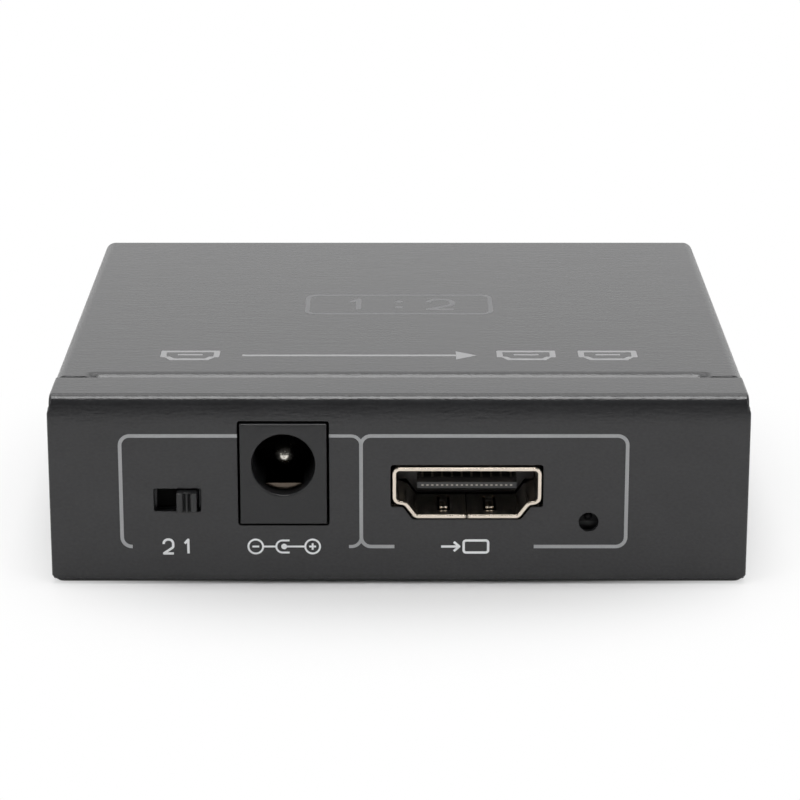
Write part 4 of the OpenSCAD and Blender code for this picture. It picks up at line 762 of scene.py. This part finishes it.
def polarity_sign(x, z, width):
    """Sign for a barrel plug: a ringed minus and a ringed plus, with leads to an open ring and its spot."""
    out, radius, arm = 2.9, 0.75, 0.35
    lead = out - radius - width / 2
    open_x, back_x, half_z = x + 0.55, x - 0.8, 0.65
    return [
        ring_stroke(x - out, z, radius, width),
        stroke([(x - out - arm, z), (x - out + arm, z)], [], width),
        stroke([(x - lead, z), (back_x - width / 2, z)], [], width),
        stroke([(open_x, z + half_z), (back_x, z + half_z), (back_x, z - half_z), (open_x, z - half_z)],
               half_z - SHARP, width),
        dot(x, z, 0.3),
        stroke([(x + 0.25, z), (x + lead, z)], [], width),
        ring_stroke(x + out, z, radius, width),
        stroke([(x + out - arm, z), (x + out + arm, z)], [], width),
        stroke([(x + out, z - arm), (x + out, z + arm)], [], width),
    ]


def input_sign(x, z, width):
    """An arrow that points into a rounded box."""
    half_z, tip, barb_x, barb_z = 0.65, x - 0.75, 0.55, 0.5
    return [
        box_stroke(x - 0.3, z - half_z, x + 2.2, z + half_z, 0.25, width),
        stroke([(x - 2.6, z), (tip, z)], [], width),
        stroke([(tip - barb_x, z + barb_z), (tip, z), (tip - barb_x, z - barb_z)], [SHARP], width),
    ]


mark_z = MARK_LOW + MARK_SIZE / 2
front_marks = [
    digit_two(SLOT_X - DIGIT_STEP, MARK_LOW, MARK_SIZE, MARK_LINE),
    digit_one(SLOT_X + DIGIT_STEP, MARK_LOW, MARK_SIZE, MARK_LINE),
    *polarity_sign(JACK_X, mark_z, MARK_LINE * 0.8),
    *input_sign(VIDEO_IN_X, mark_z, MARK_LINE),
]
print_marks("front_marks", front_marks, on_front_face, mark_ink)

REAR_FRAME_WIDE, REAR_FRAME_NEAR, REAR_DIGIT_Z = 14.1, 9.6, 13.4
rear_marks = []
for x, digit in ((VIDEO_OUT_1_X, digit_one), (VIDEO_OUT_2_X, digit_two)):
    rear_marks.append(box_stroke(x - REAR_FRAME_WIDE, FRAME_LOW, x + REAR_FRAME_NEAR, FRAME_TOP, FRAME_R,
                                 FRAME_LINE))
    rear_marks.append([as_outline(ring * (-1, 1) + (2 * x, 0))
                       for ring in digit(x, REAR_DIGIT_Z, MARK_SIZE, MARK_LINE)])
print_marks("rear_marks", rear_marks, on_rear_face, frame_ink)

PLATE_X, PLATE_LOW, PLATE_HIGH, PLATE_R, PLATE_LINE = 10.2, -0.6, 7.4, 1.2, 0.5
PLATE_DIGIT, PLATE_DIGIT_X, PLATE_DIGIT_Y, PLATE_DIGIT_LINE = 4.2, 4.6, 1.3, 0.6
PLATE_DOTS, PLATE_DOT_R = (2.2, 4.6), 0.42
ROW_X, ROW_Y, ROW_H, ROW_LINE = (-22.0, 13.4, 22.0), -17.3, 3.6, 0.6
ARROW_TAIL, ARROW_NECK, ARROW_TIP, ARROW_HALF = -16.5, 6.0, 8.2, 1.5


def socket_sign(x, y):
    """Outline of a socket's mouth, a box on a tapered foot, and a short bar for its blade."""
    right = np.array([(2.0, -0.5), (2.6, -0.2), (3.1, -0.2), (3.1, 0.5)]) * (1, ROW_H)
    mouth = np.vstack([right, right[::-1] * (-1, 1)])
    inside = mouth * (0.8, 0.66)
    bar_y, bar_half = y + 0.25, 1.3
    return [
        [rounded_ring(mouth + (x, y), 0.2), as_opening(rounded_ring(inside + (x, y), 0.15))],
        stroke([(x - bar_half, bar_y), (x + bar_half, bar_y)], [], 0.45),
    ]


plate = [
    box_stroke(-PLATE_X, PLATE_LOW, PLATE_X, PLATE_HIGH, PLATE_R, PLATE_LINE),
    digit_one(-PLATE_DIGIT_X, PLATE_DIGIT_Y, PLATE_DIGIT, PLATE_DIGIT_LINE),
    digit_two(PLATE_DIGIT_X, PLATE_DIGIT_Y, PLATE_DIGIT, PLATE_DIGIT_LINE),
    *[dot(0, y, PLATE_DOT_R) for y in PLATE_DOTS],
]
top_row = [
    *[mark for x in ROW_X for mark in socket_sign(x, ROW_Y)],
    stroke([(ARROW_TAIL, ROW_Y), (ARROW_NECK, ROW_Y)], [], ROW_LINE),
    [np.array([(ARROW_NECK, ROW_Y - ARROW_HALF), (ARROW_TIP, ROW_Y), (ARROW_NECK, ROW_Y + ARROW_HALF)])],
]
plate_ink = grained("plate_ink", (0.10, 0.10, 0.105), (0.14, 0.14, 0.145), 0.25, 0.4, 0.006)
row_ink = grained("row_ink", (0.24, 0.24, 0.245), (0.30, 0.30, 0.305), 0.25, 0.4, 0.006)
print_marks("top_plate", plate, on_top_face, plate_ink)
print_marks("top_row", top_row, on_top_face, row_ink)


# Studio: a plain white floor in a surround that is white behind the object and dim on the camera's side, with
# one soft box overhead, one behind, two beside the camera, and the camera at the photograph's place.
GLOW_NEAR, GLOW_FAR, FLOOR_HALF = 0.034, 0.07, 6

white = bpy.data.materials.new("studio_floor")
white.use_nodes = True
tree = white.node_tree
shader = tree.nodes["Principled BSDF"]
shader.inputs["Base Color"].default_value = (0.8, 0.8, 0.8, 1)
shader.inputs["Roughness"].default_value = 0.8
shader.inputs["Specular IOR Level"].default_value = 0.1
glow = tree.nodes.new("ShaderNodeEmission")
glow.inputs["Strength"].default_value = 1.0
seen = tree.nodes.new("ShaderNodeLightPath")
spot = tree.nodes.new("ShaderNodeTexCoord")
wide = tree.nodes.new("ShaderNodeMapping")
wide.inputs["Scale"].default_value = (1.25, 1, 1)
distance = tree.nodes.new("ShaderNodeVectorMath")
distance.operation = "LENGTH"
away = tree.nodes.new("ShaderNodeMapRange")
away.interpolation_type = "SMOOTHSTEP"
away.inputs["From Min"].default_value = GLOW_NEAR
away.inputs["From Max"].default_value = GLOW_FAR
away.inputs["To Min"].default_value = 0.0
away.inputs["To Max"].default_value = 1.0
share = tree.nodes.new("ShaderNodeMath")
share.operation = "MULTIPLY"
lift = tree.nodes.new("ShaderNodeMixShader")
tree.links.new(spot.outputs["Object"], wide.inputs["Vector"])
tree.links.new(wide.outputs["Vector"], distance.inputs[0])
tree.links.new(distance.outputs["Value"], away.inputs["Value"])
tree.links.new(seen.outputs["Is Camera Ray"], share.inputs[0])
tree.links.new(away.outputs["Result"], share.inputs[1])
tree.links.new(share.outputs[0], lift.inputs[0])
tree.links.new(shader.outputs[0], lift.inputs[1])
tree.links.new(glow.outputs[0], lift.inputs[2])
tree.links.new(lift.outputs[0], tree.nodes["Material Output"].inputs["Surface"])
mesh = bpy.data.meshes.new("floor")
mesh.from_pydata([(-FLOOR_HALF, -FLOOR_HALF, 0), (FLOOR_HALF, -FLOOR_HALF, 0), (FLOOR_HALF, FLOOR_HALF, 0),
                  (-FLOOR_HALF, FLOOR_HALF, 0)], [], [(0, 1, 2, 3)])
mesh.materials.append(white)
floor = bpy.data.objects.new("floor", mesh)
bpy.context.collection.objects.link(floor)

scene = bpy.context.scene
scene.view_settings.view_transform = "Standard"
world = bpy.data.worlds.new("surround")
world.use_nodes = True
tree = world.node_tree
way = tree.nodes.new("ShaderNodeTexCoord")
split = tree.nodes.new("ShaderNodeSeparateXYZ")
fall = tree.nodes.new("ShaderNodeMapRange")
fall.interpolation_type = "SMOOTHSTEP"
fall.inputs["From Min"].default_value = -0.5
fall.inputs["From Max"].default_value = 0.35
fall.inputs["To Min"].default_value = 0.06
fall.inputs["To Max"].default_value = 0.95
tree.links.new(way.outputs["Generated"], split.inputs[0])
tree.links.new(split.outputs["Y"], fall.inputs["Value"])
tree.links.new(fall.outputs["Result"], tree.nodes["Background"].inputs["Strength"])
tree.nodes["Background"].inputs["Color"].default_value = (1, 1, 1, 1)
scene.world = world

for name, size, energy, place, tilt, swing in (
        ("soft_box_above", (0.3, 0.26), 2.0, (0, -0.085, 0.6), 0, 0),
        ("soft_box_behind", (0.3, 0.3), 0.4, (0, 0.27, 0.52), -27.4, 0),
        ("soft_box_left", (0.3, 0.4), 1.1, (-0.55, -0.45, 0.35), 64, -50.7),
        ("soft_box_right", (0.3, 0.4), 1.1, (0.55, -0.45, 0.35), 64, 50.7)):
    panel = bpy.data.lights.new(name, "AREA")
    panel.shape = "RECTANGLE"
    panel.size, panel.size_y = size
    panel.energy = energy
    lamp = bpy.data.objects.new(name, panel)
    lamp.location = place
    lamp.rotation_euler = (math.radians(tilt), 0, math.radians(swing))
    bpy.context.collection.objects.link(lamp)

camera = bpy.data.cameras.new("camera")
camera.sensor_width = 36.0
camera.lens = 135.27
viewer = bpy.data.objects.new("camera", camera)
viewer.location = (0.00011, -0.32164, 0.10715)
viewer.rotation_euler = (math.radians(90 - 16.83), 0, 0)
bpy.context.collection.objects.link(viewer)
scene.camera = viewer
